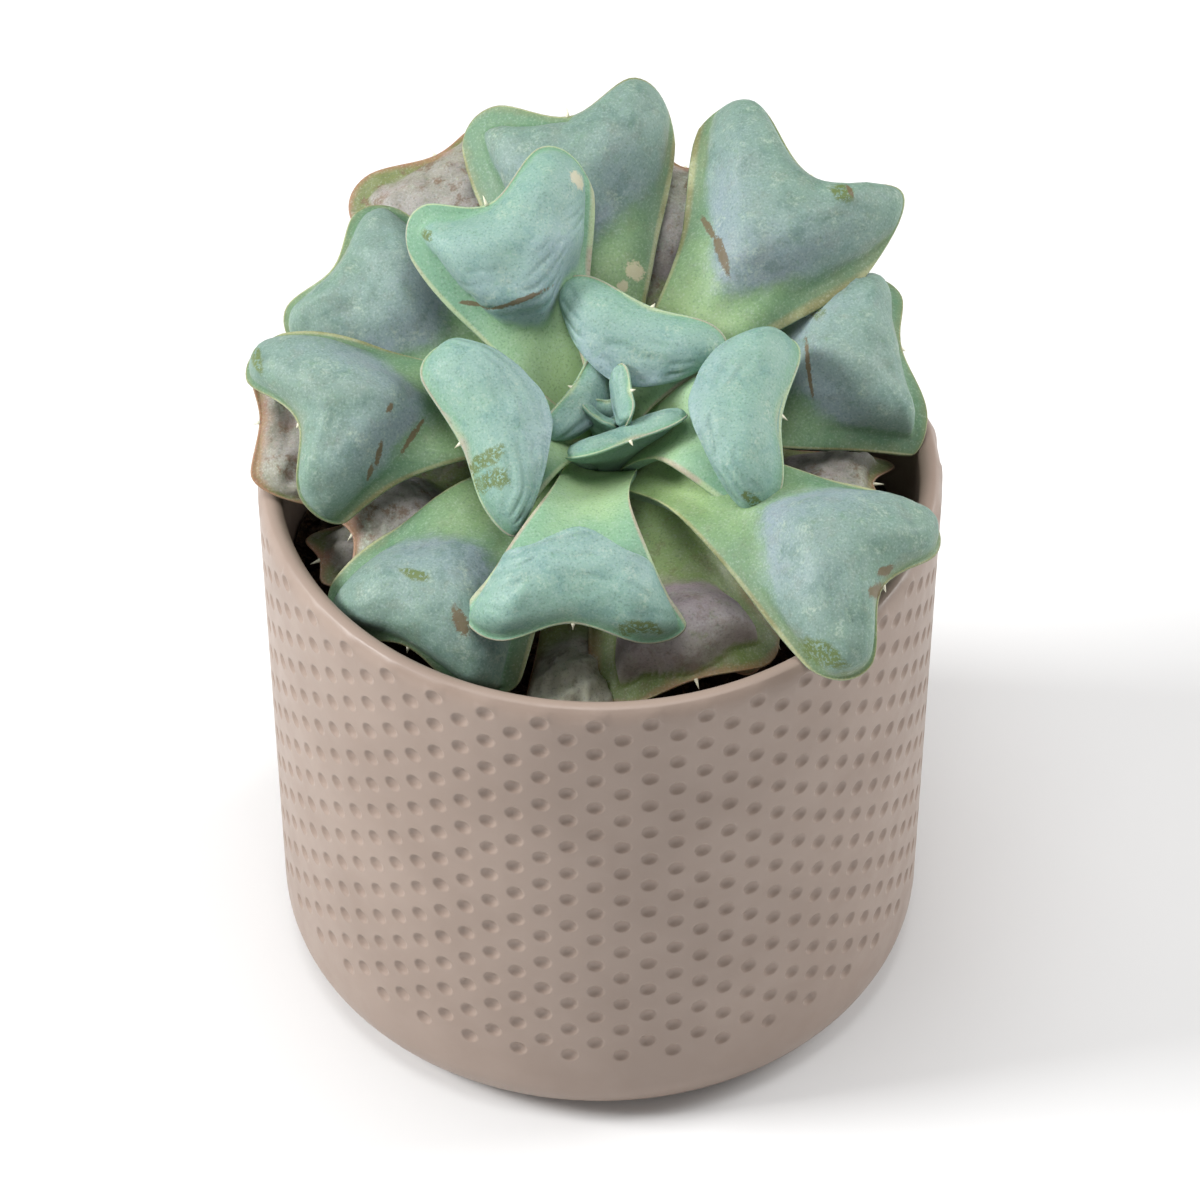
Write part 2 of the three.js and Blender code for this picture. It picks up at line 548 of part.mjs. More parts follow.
// Stem with the youngest leaves of the growing tip grown on it
function stemSolid(grow) {
  const profile = STEM_PROFILE.map(([radius, height], i) => {
    const end = Math.sign(i - STEM_PROFILE.length / 2);
    return [radius > 0 ? radius + grow : 0, height + (radius > 0 ? 0 : end * grow)];
  });
  let stem = toSolid(turnedGeometry(profile, STEM_STEPS));
  TIP_LEAVES.forEach((leaf) => {
    stem = stem.add(toSolid(leafGeometry(leaf, grow)));
  });
  return stem;
}

// Soil: fills the pot to its level, mounded and a little uneven, with a hole for the stem
function soilGeometry() {
  const inset = POT_WALL + GAP;
  const bottom = POT_FLOOR + GAP;
  const shoulder = POT_FLOOR + POT_CORNER / 2 + GAP;
  const profile = [
    [0, bottom],
    [potRadius(bottom) - inset - POT_CORNER / 2, bottom],
    [potRadius(shoulder) - inset, shoulder],
    [potRadius(SOIL_LEVEL) - inset, SOIL_LEVEL],
    [potRadius(SOIL_LEVEL) * 0.7, SOIL_LEVEL + SOIL_MOUND * 0.4],
    [potRadius(SOIL_LEVEL) * 0.35, SOIL_LEVEL + SOIL_MOUND],
    [0, SOIL_LEVEL + SOIL_MOUND],
  ];
  const geometry = turnedGeometry(profile, SOIL_STEPS);
  const hole = stemSolid(GAP).transform(rosettePlace.elements);
  return toGeometry(toSolid(geometry).subtract(hole));
}

// Leaves from the youngest outwards. Each one is pressed in by GAP where a younger leaf
// or the stem lies against it.
function leafGeometries() {
  const stem = stemSolid(GAP);
  const younger = [];
  return LEAVES.map((leaf) => {
    const free = toSolid(leafGeometry(leaf));
    let body = free.subtract(stem);
    younger.forEach((other) => {
      body = body.subtract(other);
    });
    younger.push(toSolid(leafGeometry(leaf, GAP)).add(free));
    return toGeometry(largestBody(body));
  });
}

const finishes = {
  ceramic: new THREE.MeshStandardMaterial({ color: 0xb3a398, roughness: 0.75, metalness: 0 }),
  soil: new THREE.MeshStandardMaterial({ color: 0x2c221b, roughness: 1, metalness: 0 }),
  bark: new THREE.MeshStandardMaterial({ color: 0x7d8a5c, roughness: 0.8, metalness: 0 }),
  youngLeaf: new THREE.MeshStandardMaterial({ color: 0x9cc4b8, roughness: 0.6, metalness: 0 }),
  grownLeaf: new THREE.MeshStandardMaterial({ color: 0x86a89f, roughness: 0.6, metalness: 0 }),
  oldLeaf: new THREE.MeshStandardMaterial({ color: 0x8f857d, roughness: 0.65, metalness: 0 }),
};

function namedMesh(name, geometry, material) {
  const mesh = new THREE.Mesh(geometry, material);
  mesh.name = name;
  return mesh;
}

const rosette = new THREE.Group();
rosette.applyMatrix4(rosettePlace);
rosette.add(namedMesh('stem', toGeometry(stemSolid(0)), finishes.bark));
leafGeometries().forEach((geometry, i) => {
  rosette.add(namedMesh(LEAVES[i].name, geometry, finishes[LEAVES[i].age]));
});

const plant = new THREE.Group();
plant.add(namedMesh('pot', potGeometry(), finishes.ceramic));
plant.add(namedMesh('soil', soilGeometry(), finishes.soil));
plant.add(rosette);

export default plant;
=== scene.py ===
"""Potted blue heart echeveria: a dimpled ceramic pot, its soil, and a rosette of fleshy heart-shaped leaves.

Everything is in metres in the frame of the solid model: +Z up, the origin at the centre of the pot's foot,
and -Y the side from which the rosette faces the camera. Sizes of the object are written in millimetres.
"""

import logging
import math
from dataclasses import dataclass, field, replace
from enum import Enum

import bmesh
import bpy
import numpy as np
from mathutils import Matrix, Vector, noise


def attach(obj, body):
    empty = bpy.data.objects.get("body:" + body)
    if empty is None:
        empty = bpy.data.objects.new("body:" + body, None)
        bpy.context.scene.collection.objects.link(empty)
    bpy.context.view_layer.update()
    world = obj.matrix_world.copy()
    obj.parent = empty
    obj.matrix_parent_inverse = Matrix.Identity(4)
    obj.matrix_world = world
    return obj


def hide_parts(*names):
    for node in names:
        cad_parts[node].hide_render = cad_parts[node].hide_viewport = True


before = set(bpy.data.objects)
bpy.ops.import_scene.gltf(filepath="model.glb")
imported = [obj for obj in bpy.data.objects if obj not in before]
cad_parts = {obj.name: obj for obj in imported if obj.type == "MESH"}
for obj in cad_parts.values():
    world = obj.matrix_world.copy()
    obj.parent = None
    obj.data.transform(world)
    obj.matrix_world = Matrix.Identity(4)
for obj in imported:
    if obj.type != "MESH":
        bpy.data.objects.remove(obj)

MM = 0.001
LOG = logging.getLogger("echeveria")
Colour = tuple[float, float, float]
Pair = tuple[float, float]


class Age(Enum):
    """How old a leaf is, which settles its finish."""

    YOUNG = "young_leaf"
    GROWN = "grown_leaf"
    OLD = "old_leaf"


class Tone(Enum):
    """What a mark on a leaf is made of."""

    CORK = "cork"
    RUBBED = "rubbed"
    PALE = "pale"


def linear(red: int, green: int, blue: int) -> Colour:
    """Scene-linear colour from 0 to 255 display values.

    Args:
        red: Red on the display.
        green: Green on the display.
        blue: Blue on the display.

    Returns:
        The three linear values.
    """
    shares = (red / 255, green / 255, blue / 255)
    return tuple(s / 12.92 if s <= 0.04045 else ((s + 0.055) / 1.055) ** 2.4 for s in shares)


def ease(value: np.ndarray) -> np.ndarray:
    """Smooth step from 0 to 1 of a value from 0 to 1."""
    share = np.clip(value, 0, 1)
    return share * share * (3 - 2 * share)


def add_piece(name: str, mesh: bpy.types.Mesh, slot: str, *nodes: str) -> bpy.types.Object:
    """Put a finished mesh into the scene as a piece of the object.

    Args:
        name: The piece's name.
        mesh: Its mesh, in metres, in place.
        slot: Not used.
        nodes: The solid model's nodes that it stands for.

    Returns:
        The new object.
    """
    piece = bpy.data.objects.new(name, mesh)
    bpy.context.scene.collection.objects.link(piece)
    mesh.polygons.foreach_set("use_smooth", [True] * len(mesh.polygons))
    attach(piece, "root")
    if nodes:
        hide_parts(*nodes)
    LOG.info("%s: %d faces", name, len(mesh.polygons))
    return piece


class Shader:
    """A material under construction, with short calls for the nodes that the finishes use."""

    def __init__(self, name: str) -> None:
        """Start a material of that name."""
        self.material = bpy.data.materials.new(name)
        self.material.use_nodes = True
        self.tree = self.material.node_tree
        self.surface = self.tree.nodes["Principled BSDF"]

    def node(self, kind: str, inputs: dict, **settings: object) -> bpy.types.Node:
        """Add a node.

        Args:
            kind: The node's type.
            inputs: A value or an output socket for each input, by name or number.
            settings: The node's own properties.

        Returns:
            The new node.
        """
        made = self.tree.nodes.new(kind)
        for key, value in settings.items():
            setattr(made, key, value)
        for key, value in inputs.items():
            if isinstance(value, bpy.types.NodeSocket):
                self.tree.links.new(value, made.inputs[key])
            else:
                made.inputs[key].default_value = value
        return made

    def place(self) -> bpy.types.NodeSocket:
        """Where a point is on the object."""
        return self.node("ShaderNodeTexCoord", {}).outputs["Object"]

    def attribute(self, name: str) -> bpy.types.NodeSocket:
        """A number that the mesh holds at each point."""
        return self.node("ShaderNodeAttribute", {}, attribute_name=name).outputs["Fac"]

    def flat(self, name: str) -> bpy.types.NodeSocket:
        """The piece's own flat map of that name."""
        return self.node("ShaderNodeUVMap", {}, uv_map=name).outputs["UV"]

    def math(self, operation: str, *values: object, clamp: bool = False) -> bpy.types.NodeSocket:
        """One sum on numbers or sockets.

        Args:
            operation: The sum's name.
            values: Its one to three terms.
            clamp: Whether the result is kept from 0 to 1.

        Returns:
            The result.
        """
        inputs = dict(enumerate(values))
        return self.node("ShaderNodeMath", inputs, operation=operation, use_clamp=clamp).outputs[0]

    def noise(
        self, at: bpy.types.NodeSocket, size: float, detail: float = 3, rough: float = 0.5
    ) -> bpy.types.NodeSocket:
        """Cloudy noise.

        Args:
            at: Where it is read, in metres.
            size: How large its clouds are, in millimetres.
            detail: How many finer layers it has.
            rough: How strong they are.

        Returns:
            A number around one half.
        """
        inputs = {"Vector": at, "Scale": 1 / (size * MM), "Detail": detail, "Roughness": rough}
        return self.node("ShaderNodeTexNoise", inputs).outputs["Fac"]

    def remap(
        self, value: object, low: float, high: float, start: float = 0, end: float = 1
    ) -> bpy.types.NodeSocket:
        """Smooth step between two values.

        Args:
            value: What is read.
            low: Where the step starts.
            high: Where it ends.
            start: The result at its start.
            end: The result at its end.

        Returns:
            The result.
        """
        inputs = {0: value, 1: low, 2: high, 3: start, 4: end}
        return self.node("ShaderNodeMapRange", inputs, interpolation_type="SMOOTHSTEP").outputs[0]

    def blend(self, first: object, second: object, share: object, kind: str = "MIX") -> bpy.types.NodeSocket:
        """Mix of two colours.

        Args:
            first: The colour at share 0.
            second: The colour at share 1.
            share: How much of the second there is.
            kind: The way that they mix.

        Returns:
            The mixed colour.
        """
        colours = [(*c, 1) if isinstance(c, tuple) else c for c in (first, second)]
        inputs = {0: share, 6: colours[0], 7: colours[1]}
        settings = {"data_type": "RGBA", "blend_type": kind, "clamp_factor": True}
        return self.node("ShaderNodeMix", inputs, **settings).outputs[2]

    def bump(
        self, height: object, depth: float, strength: float, under: object = None
    ) -> bpy.types.NodeSocket:
        """Relief that only the light sees.

        Args:
            height: The relief, from 0 to 1.
            depth: Its full depth, in millimetres.
            strength: How much of it shows.
            under: A coarser relief below it.

        Returns:
            The normal.
        """
        inputs = {"Height": height, "Distance": depth * MM, "Strength": strength}
        if under is not None:
            inputs["Normal"] = under
        return self.node("ShaderNodeBump", inputs).outputs["Normal"]

    def finish(
        self, colour: object, roughness: object, normal: object = None, **values: float
    ) -> bpy.types.Material:
        """Connect the surface.

        Args:
            colour: Base colour.
            roughness: Roughness.
            normal: The relief, if there is one.
            values: Other numbers of the surface, by input name with _ for a space.

        Returns:
            The finished material.
        """
        wanted = {"Base Color": colour, "Roughness": roughness, "Normal": normal}
        wanted.update({key.replace("_", " "): value for key, value in values.items()})
        for key, value in wanted.items():
            if isinstance(value, bpy.types.NodeSocket):
                self.tree.links.new(value, self.surface.inputs[key])
            elif isinstance(value, tuple):
                self.surface.inputs[key].default_value = value if key == "Subsurface Radius" else (*value, 1)
            elif value is not None:
                self.surface.inputs[key].default_value = value
        return self.material


class Growth:
    """A geometry node tree under construction, for what repeats."""

    def __init__(self, name: str) -> None:
        """Start a tree of that name, with its geometry in and out."""
        self.group = bpy.data.node_groups.new(name, "GeometryNodeTree")
        self.values = {}
        self.group.interface.new_socket("Geometry", in_out="INPUT", socket_type="NodeSocketGeometry")
        self.group.interface.new_socket("Geometry", in_out="OUTPUT", socket_type="NodeSocketGeometry")
        self.entry = self.group.nodes.new("NodeGroupInput")
        self.exit = self.group.nodes.new("NodeGroupOutput")

    def size(self, name: str, value: float) -> bpy.types.NodeSocket:
        """Add a named input.

        Args:
            name: The input's name.
            value: What it is set to: a whole number makes an integer input.

        Returns:
            The socket that carries it.
        """
        kind = "NodeSocketInt" if isinstance(value, int) else "NodeSocketFloat"
        socket = self.group.interface.new_socket(name, in_out="INPUT", socket_type=kind)
        self.values[socket.identifier] = value
        return self.entry.outputs[name]

    def node(self, kind: str, inputs: dict, **settings: object) -> bpy.types.Node:
        """Add a node.

        Args:
            kind: The node's type.
            inputs: A value or an output socket for each input, by name or number.
            settings: The node's own properties.

        Returns:
            The new node.
        """
        made = self.group.nodes.new(kind)
        for key, value in settings.items():
            setattr(made, key, value)
        for key, value in inputs.items():
            if isinstance(value, bpy.types.NodeSocket):
                self.group.links.new(value, made.inputs[key])
            else:
                made.inputs[key].default_value = value
        return made

    def math(self, operation: str, *values: object) -> bpy.types.NodeSocket:
        """One sum on numbers or sockets, by the sum's name."""
        return self.node("ShaderNodeMath", dict(enumerate(values)), operation=operation).outputs[0]

    def apply(
        self, piece: bpy.types.Object, result: bpy.types.NodeSocket, material: bpy.types.Material
    ) -> bpy.types.Mesh:
        """End the tree, run it on an object and take the mesh that it makes.

        Args:
            piece: The object that the tree starts from, which is removed.
            result: The geometry that the tree ends with, with its instances.
            material: What the geometry is dressed in.

        Returns:
            The plain mesh.
        """
        real = self.node("GeometryNodeRealizeInstances", {0: result})
        dressed = self.node("GeometryNodeSetMaterial", {"Geometry": real.outputs[0], "Material": material})
        self.group.links.new(dressed.outputs[0], self.exit.inputs[0])
        modifier = piece.modifiers.new("growth", "NODES")
        modifier.node_group = self.group
        for identifier, value in self.values.items():
            modifier[identifier] = value
        evaluated = piece.evaluated_get(bpy.context.evaluated_depsgraph_get())
        mesh = bpy.data.meshes.new_from_object(evaluated)
        bpy.data.objects.remove(piece)
        return mesh


def seed_object(name: str, mesh: bpy.types.Mesh) -> bpy.types.Object:
    """An object that only carries a mesh into a node tree."""
    carrier = bpy.data.objects.new(name, mesh)
    bpy.context.scene.collection.objects.link(carrier)
    return carrier


@dataclass(frozen=True)
class CeramicFinish:
    """Matt taupe ceramic."""

    colour: Colour = linear(157, 139, 127)
    shade: Colour = linear(150, 132, 120)
    roughness: float = 0.42

    def material(self) -> bpy.types.Material:
        """Build it: faint clouds in the glaze and a fine grain."""
        shader = Shader("matt_ceramic")
        place = shader.place()
        clouds = shader.remap(shader.noise(place, 22, 4), 0.35, 0.68)
        specks = shader.remap(shader.noise(place, 0.5, 2), 0.6, 0.75, 0, 0.25)
        colour = shader.blend(self.colour, self.shade, clouds)
        colour = shader.blend(colour, linear(148, 129, 118), specks)
        rough = shader.remap(shader.noise(place, 6, 3), 0.3, 0.7, self.roughness - 0.05, self.roughness + 0.06)
        ripple = shader.bump(shader.noise(place, 9, 2), 0.2, 0.35)
        grain = shader.bump(shader.noise(place, 0.45, 3), 0.05, 0.35, ripple)
        return shader.finish(colour, rough, grain, Specular_IOR_Level=0.5)


@dataclass(frozen=True)
class SoilFinish:
    """Dark potting mix."""

    dark: Colour = linear(38, 28, 21)
    light: Colour = linear(92, 70, 52)

    def material(self) -> bpy.types.Material:
        """Build it: crumbs of several browns."""
        shader = Shader("potting_mix")
        place = shader.place()
        crumbs = shader.remap(shader.noise(place, 2.4, 4, 0.6), 0.4, 0.68)
        fibres = shader.remap(shader.noise(place, 0.8, 3, 0.6), 0.5, 0.7, 0, 0.6)
        colour = shader.blend(self.dark, self.light, crumbs)
        colour = shader.blend(colour, linear(28, 20, 15), fibres)
        relief = shader.bump(shader.noise(place, 0.7, 4, 0.7), 0.5, 0.8)
        return shader.finish(colour, 0.95, relief, Specular_IOR_Level=0.2)


@dataclass(frozen=True)
class BarkFinish:
    """Skin of the stem: green under the leaves, brown and corky further down."""

    green: Colour = linear(136, 160, 96)
    brown: Colour = linear(112, 92, 68)

    def material(self) -> bpy.types.Material:
        """Build it: rings where old leaves were."""
        shader = Shader("stem_skin")
        place = shader.place()
        height = shader.node("ShaderNodeSeparateXYZ", {0: place}).outputs["Z"]
        ragged = shader.math("MULTIPLY_ADD", shader.noise(place, 3, 3), 0.012, height)
        colour = shader.blend(self.brown, self.green, shader.remap(ragged, 0.102, 0.116))
        scars = shader.remap(shader.noise(place, 1.2, 4), 0.5, 0.72, 0, 0.6)
        colour = shader.blend(colour, linear(84, 66, 48), scars)
        relief = shader.bump(shader.noise(place, 0.9, 4, 0.6), 0.4, 0.6)
        return shader.finish(colour, 0.8, relief, Specular_IOR_Level=0.3)


@dataclass(frozen=True)
class SpineFinish:
    """Pale horny tip."""

    colour: Colour = linear(232, 230, 206)

    def material(self) -> bpy.types.Material:
        """Build it."""
        shader = Shader("notch_spine")
        tint = shader.remap(shader.noise(shader.place(), 0.8, 2), 0.45, 0.7, 0, 0.35)
        colour = shader.blend(self.colour, linear(176, 158, 118), tint)
        return shader.finish(colour, 0.45, None, Specular_IOR_Level=0.4)


@dataclass(frozen=True)
class Mark:
    """A scar, a rubbed patch or a pale spot on a leaf's upper face.

    at is its centre, across and along the leaf in millimetres from the root; size is half its
    length and half its width, and turn its angle from the leaf's own axis.
    """

    at: tuple[float, float]
    size: tuple[float, float]
    turn: float = 0
    tone: Tone = Tone.CORK
    ragged: float = 1.3


MARKS = {
    "leaf_05": (
        Mark((5.3, 30.9), (1.6, 1.5), 0, Tone.RUBBED), Mark((9.3, 31.7), (1.9, 1.2), -95, Tone.RUBBED),
    ),
    "leaf_06": (Mark((-17.0, 33.3), (1.2, 1.0), 37, Tone.RUBBED),),
    "leaf_07": (
        Mark((9.6, 30.5), (2.8, 0.4), 119), Mark((2.2, 28.8), (4.7, 0.45), 93),
        Mark((-16.7, 44.6), (2.0, 1.3), 175, Tone.PALE), Mark((12.0, 44.8), (1.1, 0.9), 144, Tone.RUBBED),
    ),
    "leaf_08": (
        Mark((-12.0, 34.6), (3.3, 0.6), -109), Mark((-3.3, 34.4), (1.7, 0.7), -118),
        Mark((12.3, 49.1), (4.0, 0.7), -87, Tone.RUBBED),
    ),
    "leaf_09": (
        Mark((9.6, 39.0), (3.1, 0.6), 117), Mark((4.0, 35.9), (3.7, 0.9), 124),
        Mark((-7.0, 57.0), (2.2, 1.7), 97, Tone.RUBBED), Mark((-7.9, 58.2), (1.3, 0.4), 126),
    ),
    "leaf_10": (
        Mark((12.0, 43.1), (1.5, 0.5), 119), Mark((8.9, 40.9), (2.1, 0.55), 108), Mark((1.8, 39.0), (0.9, 0.5), 118),
        Mark((5.4, 33.6), (3.6, 0.5), 124), Mark((-14.3, 58.2), (3.5, 0.9), -98, Tone.RUBBED),
    ),
    "leaf_11": (
        Mark((-17.5, 61.0), (5.0, 1.5), -7, Tone.RUBBED), Mark((-3.1, 61.4), (2.6, 0.7), -87),
        Mark((1.1, 60.6), (1.7, 0.5), -73),
    ),
    "leaf_12": (Mark((-9.3, 27.9), (1.7, 1.4), 141, Tone.PALE), Mark((-6.8, 25.1), (1.1, 0.9), -141, Tone.PALE)),
    "leaf_13": (Mark((-4.2, 42.5), (2.8, 0.8), -100, Tone.RUBBED), Mark((7.3, 44.7), (2.4, 1.1), -58)),
    "leaf_14": (Mark((11.9, 39.4), (4.3, 1.5), 86, Tone.RUBBED), Mark((-0.5, 34.9), (5.0, 0.4), 105)),
    "leaf_17": (Mark((-2.6, 49.9), (1.6, 0.9), 151),),
}


@dataclass(frozen=True)
class LeafFinish:
    """Skin of a leaf: a green blade, and a powdery bloom over its cushion.

    Widths are in millimetres, and shares run from 0 to 1.
    """

    stalk: Colour
    blade: Colour
    bloom: Colour
    haze: Colour
    deep: Colour
    margin: Colour
    rim: Colour
    under: Colour
    green_edge: float
    age_spots: float
    rim_share: float
    haze_share: float
    wrinkles: float
    roughness: float = 0.56

    def marks(self, shader: Shader, colour: object, marks: tuple[Mark, ...]) -> object:
        """Paint a leaf's marks over its colour.

        Args:
            shader: The material under construction.
            colour: The colour so far.
            marks: The marks.

        Returns:
            The colour with the marks.
        """
        tones = {
            Tone.CORK: (linear(108, 92, 66), 0.28, 0.9), Tone.RUBBED: (linear(96, 112, 56), 0.4, 0.9),
            Tone.PALE: (linear(212, 198, 168), 0.2, 0.7),
        }
        flat = shader.flat("leaf")
        torn = shader.noise(shader.place(), 1.4, 5, 0.8)
        worn = shader.noise(shader.place(), 0.7, 3, 0.7)
        upper = shader.remap(shader.attribute("under"), 0, 0.5, 1, 0)
        for mark in marks:
            tone, gaps, strength = tones[mark.tone]
            centre = (-mark.at[0] * MM * 10, -mark.at[1] * MM * 10, 0)
            moved = shader.node("ShaderNodeVectorMath", {0: flat, 1: centre}, operation="ADD").outputs[0]
            turned = shader.node("ShaderNodeVectorRotate", {"Vector": moved, "Angle": math.radians(-mark.turn)})
            stretch = (1 / (mark.size[1] * MM * 10), 1 / (mark.size[0] * MM * 10), 0)
            scaled = shader.node("ShaderNodeVectorMath", {0: turned.outputs[0], 1: stretch}, operation="MULTIPLY")
            away = shader.node("ShaderNodeVectorMath", {0: scaled.outputs[0]}, operation="LENGTH").outputs["Value"]
            ragged = shader.math("MULTIPLY_ADD", torn, 2 * mark.ragged, away)
            spread = shader.remap(ragged, 0.85 + mark.ragged, 1.25 + mark.ragged, strength, 0)
            broken = shader.math("MULTIPLY", spread, shader.remap(worn, gaps, gaps + 0.1))
            colour = shader.blend(colour, tone, shader.math("MULTIPLY", broken, upper))
        return colour

    def material(self, name: str, marks: tuple[Mark, ...]) -> bpy.types.Material:
        """Build the skin of one leaf.

        Args:
            name: The material's name.
            marks: The marks on that leaf.

        Returns:
            The finished material.
        """
        shader = Shader(name)
        place = shader.place()
        cushion = shader.attribute("cushion")
        reach = shader.attribute("reach")
        edge = shader.attribute("edge")
        under = shader.attribute("under")
        fold = shader.attribute("fold")

        patches = shader.noise(place, 9, 4, 0.6)
        powder = shader.noise(place, 2.6, 5, 0.7)
        pores = shader.noise(place, 0.42, 2)

        grown = shader.math("MULTIPLY_ADD", patches, 0.3, shader.math("SUBTRACT", reach, 0.15))
        colour = shader.blend(self.stalk, self.blade, shader.remap(grown, 0.12, 0.72))
        # Painted light: the stalk, away from its edges, is painted a lighter yellow-green, a glow standing in for
        # light shining through the flesh.
        middle = shader.remap(edge, 1.0, 5.5, 0, 0.45)
        painted_glow = shader.math("MULTIPLY", middle, shader.remap(grown, 0.1, 0.7, 1, 0.1))
        colour = shader.blend(colour, linear(180, 208, 150), painted_glow)
        streaks = shader.remap(powder, 0.45, 0.75, 0, 0.12)
        colour = shader.blend(colour, linear(184, 200, 150), streaks)
        raised = shader.math("MULTIPLY_ADD", powder, 0.4, shader.math("SUBTRACT", cushion, 0.2))
        inward = shader.math("MULTIPLY_ADD", patches, 1.6, shader.math("SUBTRACT", edge, 0.8))
        thick = shader.remap(raised, -0.02, 0.34)
        covered = shader.math("MULTIPLY", thick, shader.remap(inward, -0.4, self.green_edge, 0.4, 1))
        outward = shader.math("MULTIPLY_ADD", patches, 0.35, reach)
        near_stalk = shader.remap(outward, 0.72, 1.02, self.haze_share, 0)
        hazy = shader.math("MULTIPLY", near_stalk, shader.remap(edge, 1, 5, 0.3, 1))
        bloom = shader.blend(self.bloom, self.haze, hazy)
        bloom = shader.blend(bloom, self.blade, shader.remap(outward, 0.98, 1.2, 0, 0.4))
        deep = shader.remap(shader.noise(place, 5.5, 5, 0.7), 0.5, 0.34, 0, 0.45)
        bloom = shader.blend(bloom, self.deep, deep)
        clusters = shader.remap(shader.noise(place, 4.5, 3, 0.6), 0.52, 0.68)
        flecks = shader.remap(shader.noise(place, 0.7, 3, 0.7), 0.42, 0.66, 0, 0.45)
        bloom = shader.blend(bloom, linear(184, 198, 180), shader.math("MULTIPLY", clusters, flecks))
        bloom = shader.blend(bloom, self.blade, shader.remap(powder, 0.46, 0.26, 0, 0.4))
        colour = shader.blend(colour, bloom, covered)

        if self.age_spots > 0:
            spots = shader.noise(place, 3.4, 5, 0.72)
            colour = shader.blend(colour, linear(116, 92, 70), shader.remap(spots, 0.52, 0.64, 0, self.age_spots))
            grey = shader.noise(place, 6.5, 4, 0.65)
            colour = shader.blend(colour, linear(170, 158, 154), shader.remap(grey, 0.5, 0.7, 0, self.age_spots * 0.7))
        if self.rim_share > 0:
            ragged_rim = shader.math("MULTIPLY_ADD", patches, 5.0, edge)
            wide = shader.remap(ragged_rim, 2.4, 4.4, self.rim_share, 0)
            outer = shader.math("MULTIPLY", wide, shader.remap(reach, 0.5, 0.85))
            colour = shader.blend(colour, self.rim, outer)
        above = shader.remap(under, 0.1, 0.6, 1, 0.15)
        line = shader.math("MULTIPLY", shader.remap(edge, 0.02, 0.26, 0.6, 0), above)
        margin = shader.blend(self.margin, self.rim, shader.remap(shader.noise(place, 11, 2), 0.42, 0.56))
        colour = shader.blend(colour, margin, line)

        ring = shader.math("MULTIPLY_ADD", shader.noise(place, 13, 2), 2.4, shader.math("MULTIPLY", fold, 0.4))
        wave = shader.math("MULTIPLY", shader.math("PINGPONG", ring, 0.5), 2.0)
        groove = shader.remap(wave, 0.0, 0.8, 1, 0)
        breaks = shader.remap(shader.noise(place, 7, 1), 0.42, 0.58)
        broken = shader.math("MULTIPLY", breaks, shader.remap(fold, 4, 20, 1, 0))
        lines = shader.math("MULTIPLY", groove, broken)
        crease = shader.math("MULTIPLY", lines, shader.remap(cushion, 0.25, 0.6))
        crease = shader.math("MULTIPLY", crease, self.wrinkles)
        # Painted shade: the wrinkles' grooves are also darkened in colour, on top of their bump.
        colour = shader.blend(colour, linear(84, 122, 116), shader.math("MULTIPLY", crease, 0.22))

        shaded = shader.math("MULTIPLY", under, shader.remap(powder, 0.2, 0.8, 0.95, 0.7))
        colour = shader.blend(colour, self.under, shaded)
        colour = shader.blend(colour, linear(72, 100, 88), shader.remap(pores, 0.56, 0.70, 0, 0.34))
        colour = shader.blend(colour, linear(196, 208, 200), shader.remap(pores, 0.46, 0.32, 0, 0.18))
        colour = self.marks(shader, colour, marks)

        folds = shader.bump(shader.math("SUBTRACT", 1.0, crease), 0.6, 0.55)
        lumps = shader.bump(powder, 0.3, 0.5, folds)
        skin = shader.bump(pores, 0.05, 0.22, lumps)
        rough = shader.remap(powder, 0.3, 0.75, self.roughness - 0.08, self.roughness + 0.08)
        flesh = {"Subsurface_Weight": 0.2, "Subsurface_Scale": 2 * MM, "Subsurface_Radius": (0.8, 1.0, 0.4)}
        return shader.finish(colour, rough, skin, Specular_IOR_Level=0.4, **flesh)


FINISHES = {
    Age.YOUNG: LeafFinish(
        stalk=linear(168, 196, 144), blade=linear(120, 162, 134), bloom=linear(136, 167, 158),
        haze=linear(150, 169, 179), deep=linear(98, 140, 136), margin=linear(196, 206, 160), rim=linear(196, 164, 150),
        under=linear(132, 164, 150), green_edge=0.4, age_spots=0.0, rim_share=0.0, haze_share=0.65, wrinkles=0.8,
    ),
    Age.GROWN: LeafFinish(
        stalk=linear(140, 168, 108), blade=linear(98, 134, 104), bloom=linear(124, 149, 140),
        haze=linear(142, 156, 167), deep=linear(84, 116, 108), margin=linear(184, 180, 138), rim=linear(146, 132, 84),
        under=linear(122, 148, 132), green_edge=0.9, age_spots=0.1, rim_share=0.25, haze_share=0.75, wrinkles=0.2,
    ),
    Age.OLD: LeafFinish(
        stalk=linear(136, 150, 86), blade=linear(114, 122, 76), bloom=linear(156, 152, 146),
        haze=linear(136, 124, 128), deep=linear(112, 104, 92), margin=linear(172, 132, 112), rim=linear(164, 112, 94),
        under=linear(128, 126, 104), green_edge=1.2, age_spots=0.8, rim_share=0.6, haze_share=0.8, wrinkles=0.3,
    ),
}
# The turning leaf_16's own colours: an olive blade, a pink haze, a red rim and more age spots. Its bloom is also
# painted paler than the leaf is: painted light for a leaf that lies in shade under the leaves above it.
TURNING_WITH_PAINTED_LIGHT = replace(
    FINISHES[Age.GROWN], blade=linear(116, 134, 74), bloom=linear(170, 160, 162), haze=linear(170, 150, 160),
    deep=linear(128, 120, 118), rim=linear(164, 120, 92), age_spots=0.3, rim_share=0.6, roughness=0.48,
)
# Painted light: a paler copy of the old finish for leaf_21, which lies in shade under leaf_08. Its lighter bloom, haze
# and deep colours stand in for light that does not reach it.
OLD_PAINTED_LIGHT = replace(
    FINISHES[Age.OLD], bloom=linear(196, 196, 178), haze=linear(186, 178, 174), deep=linear(150, 142, 126),
    age_spots=0.4,
)
OWN_FINISHES = {"leaf_16": TURNING_WITH_PAINTED_LIGHT, "leaf_21": OLD_PAINTED_LIGHT}


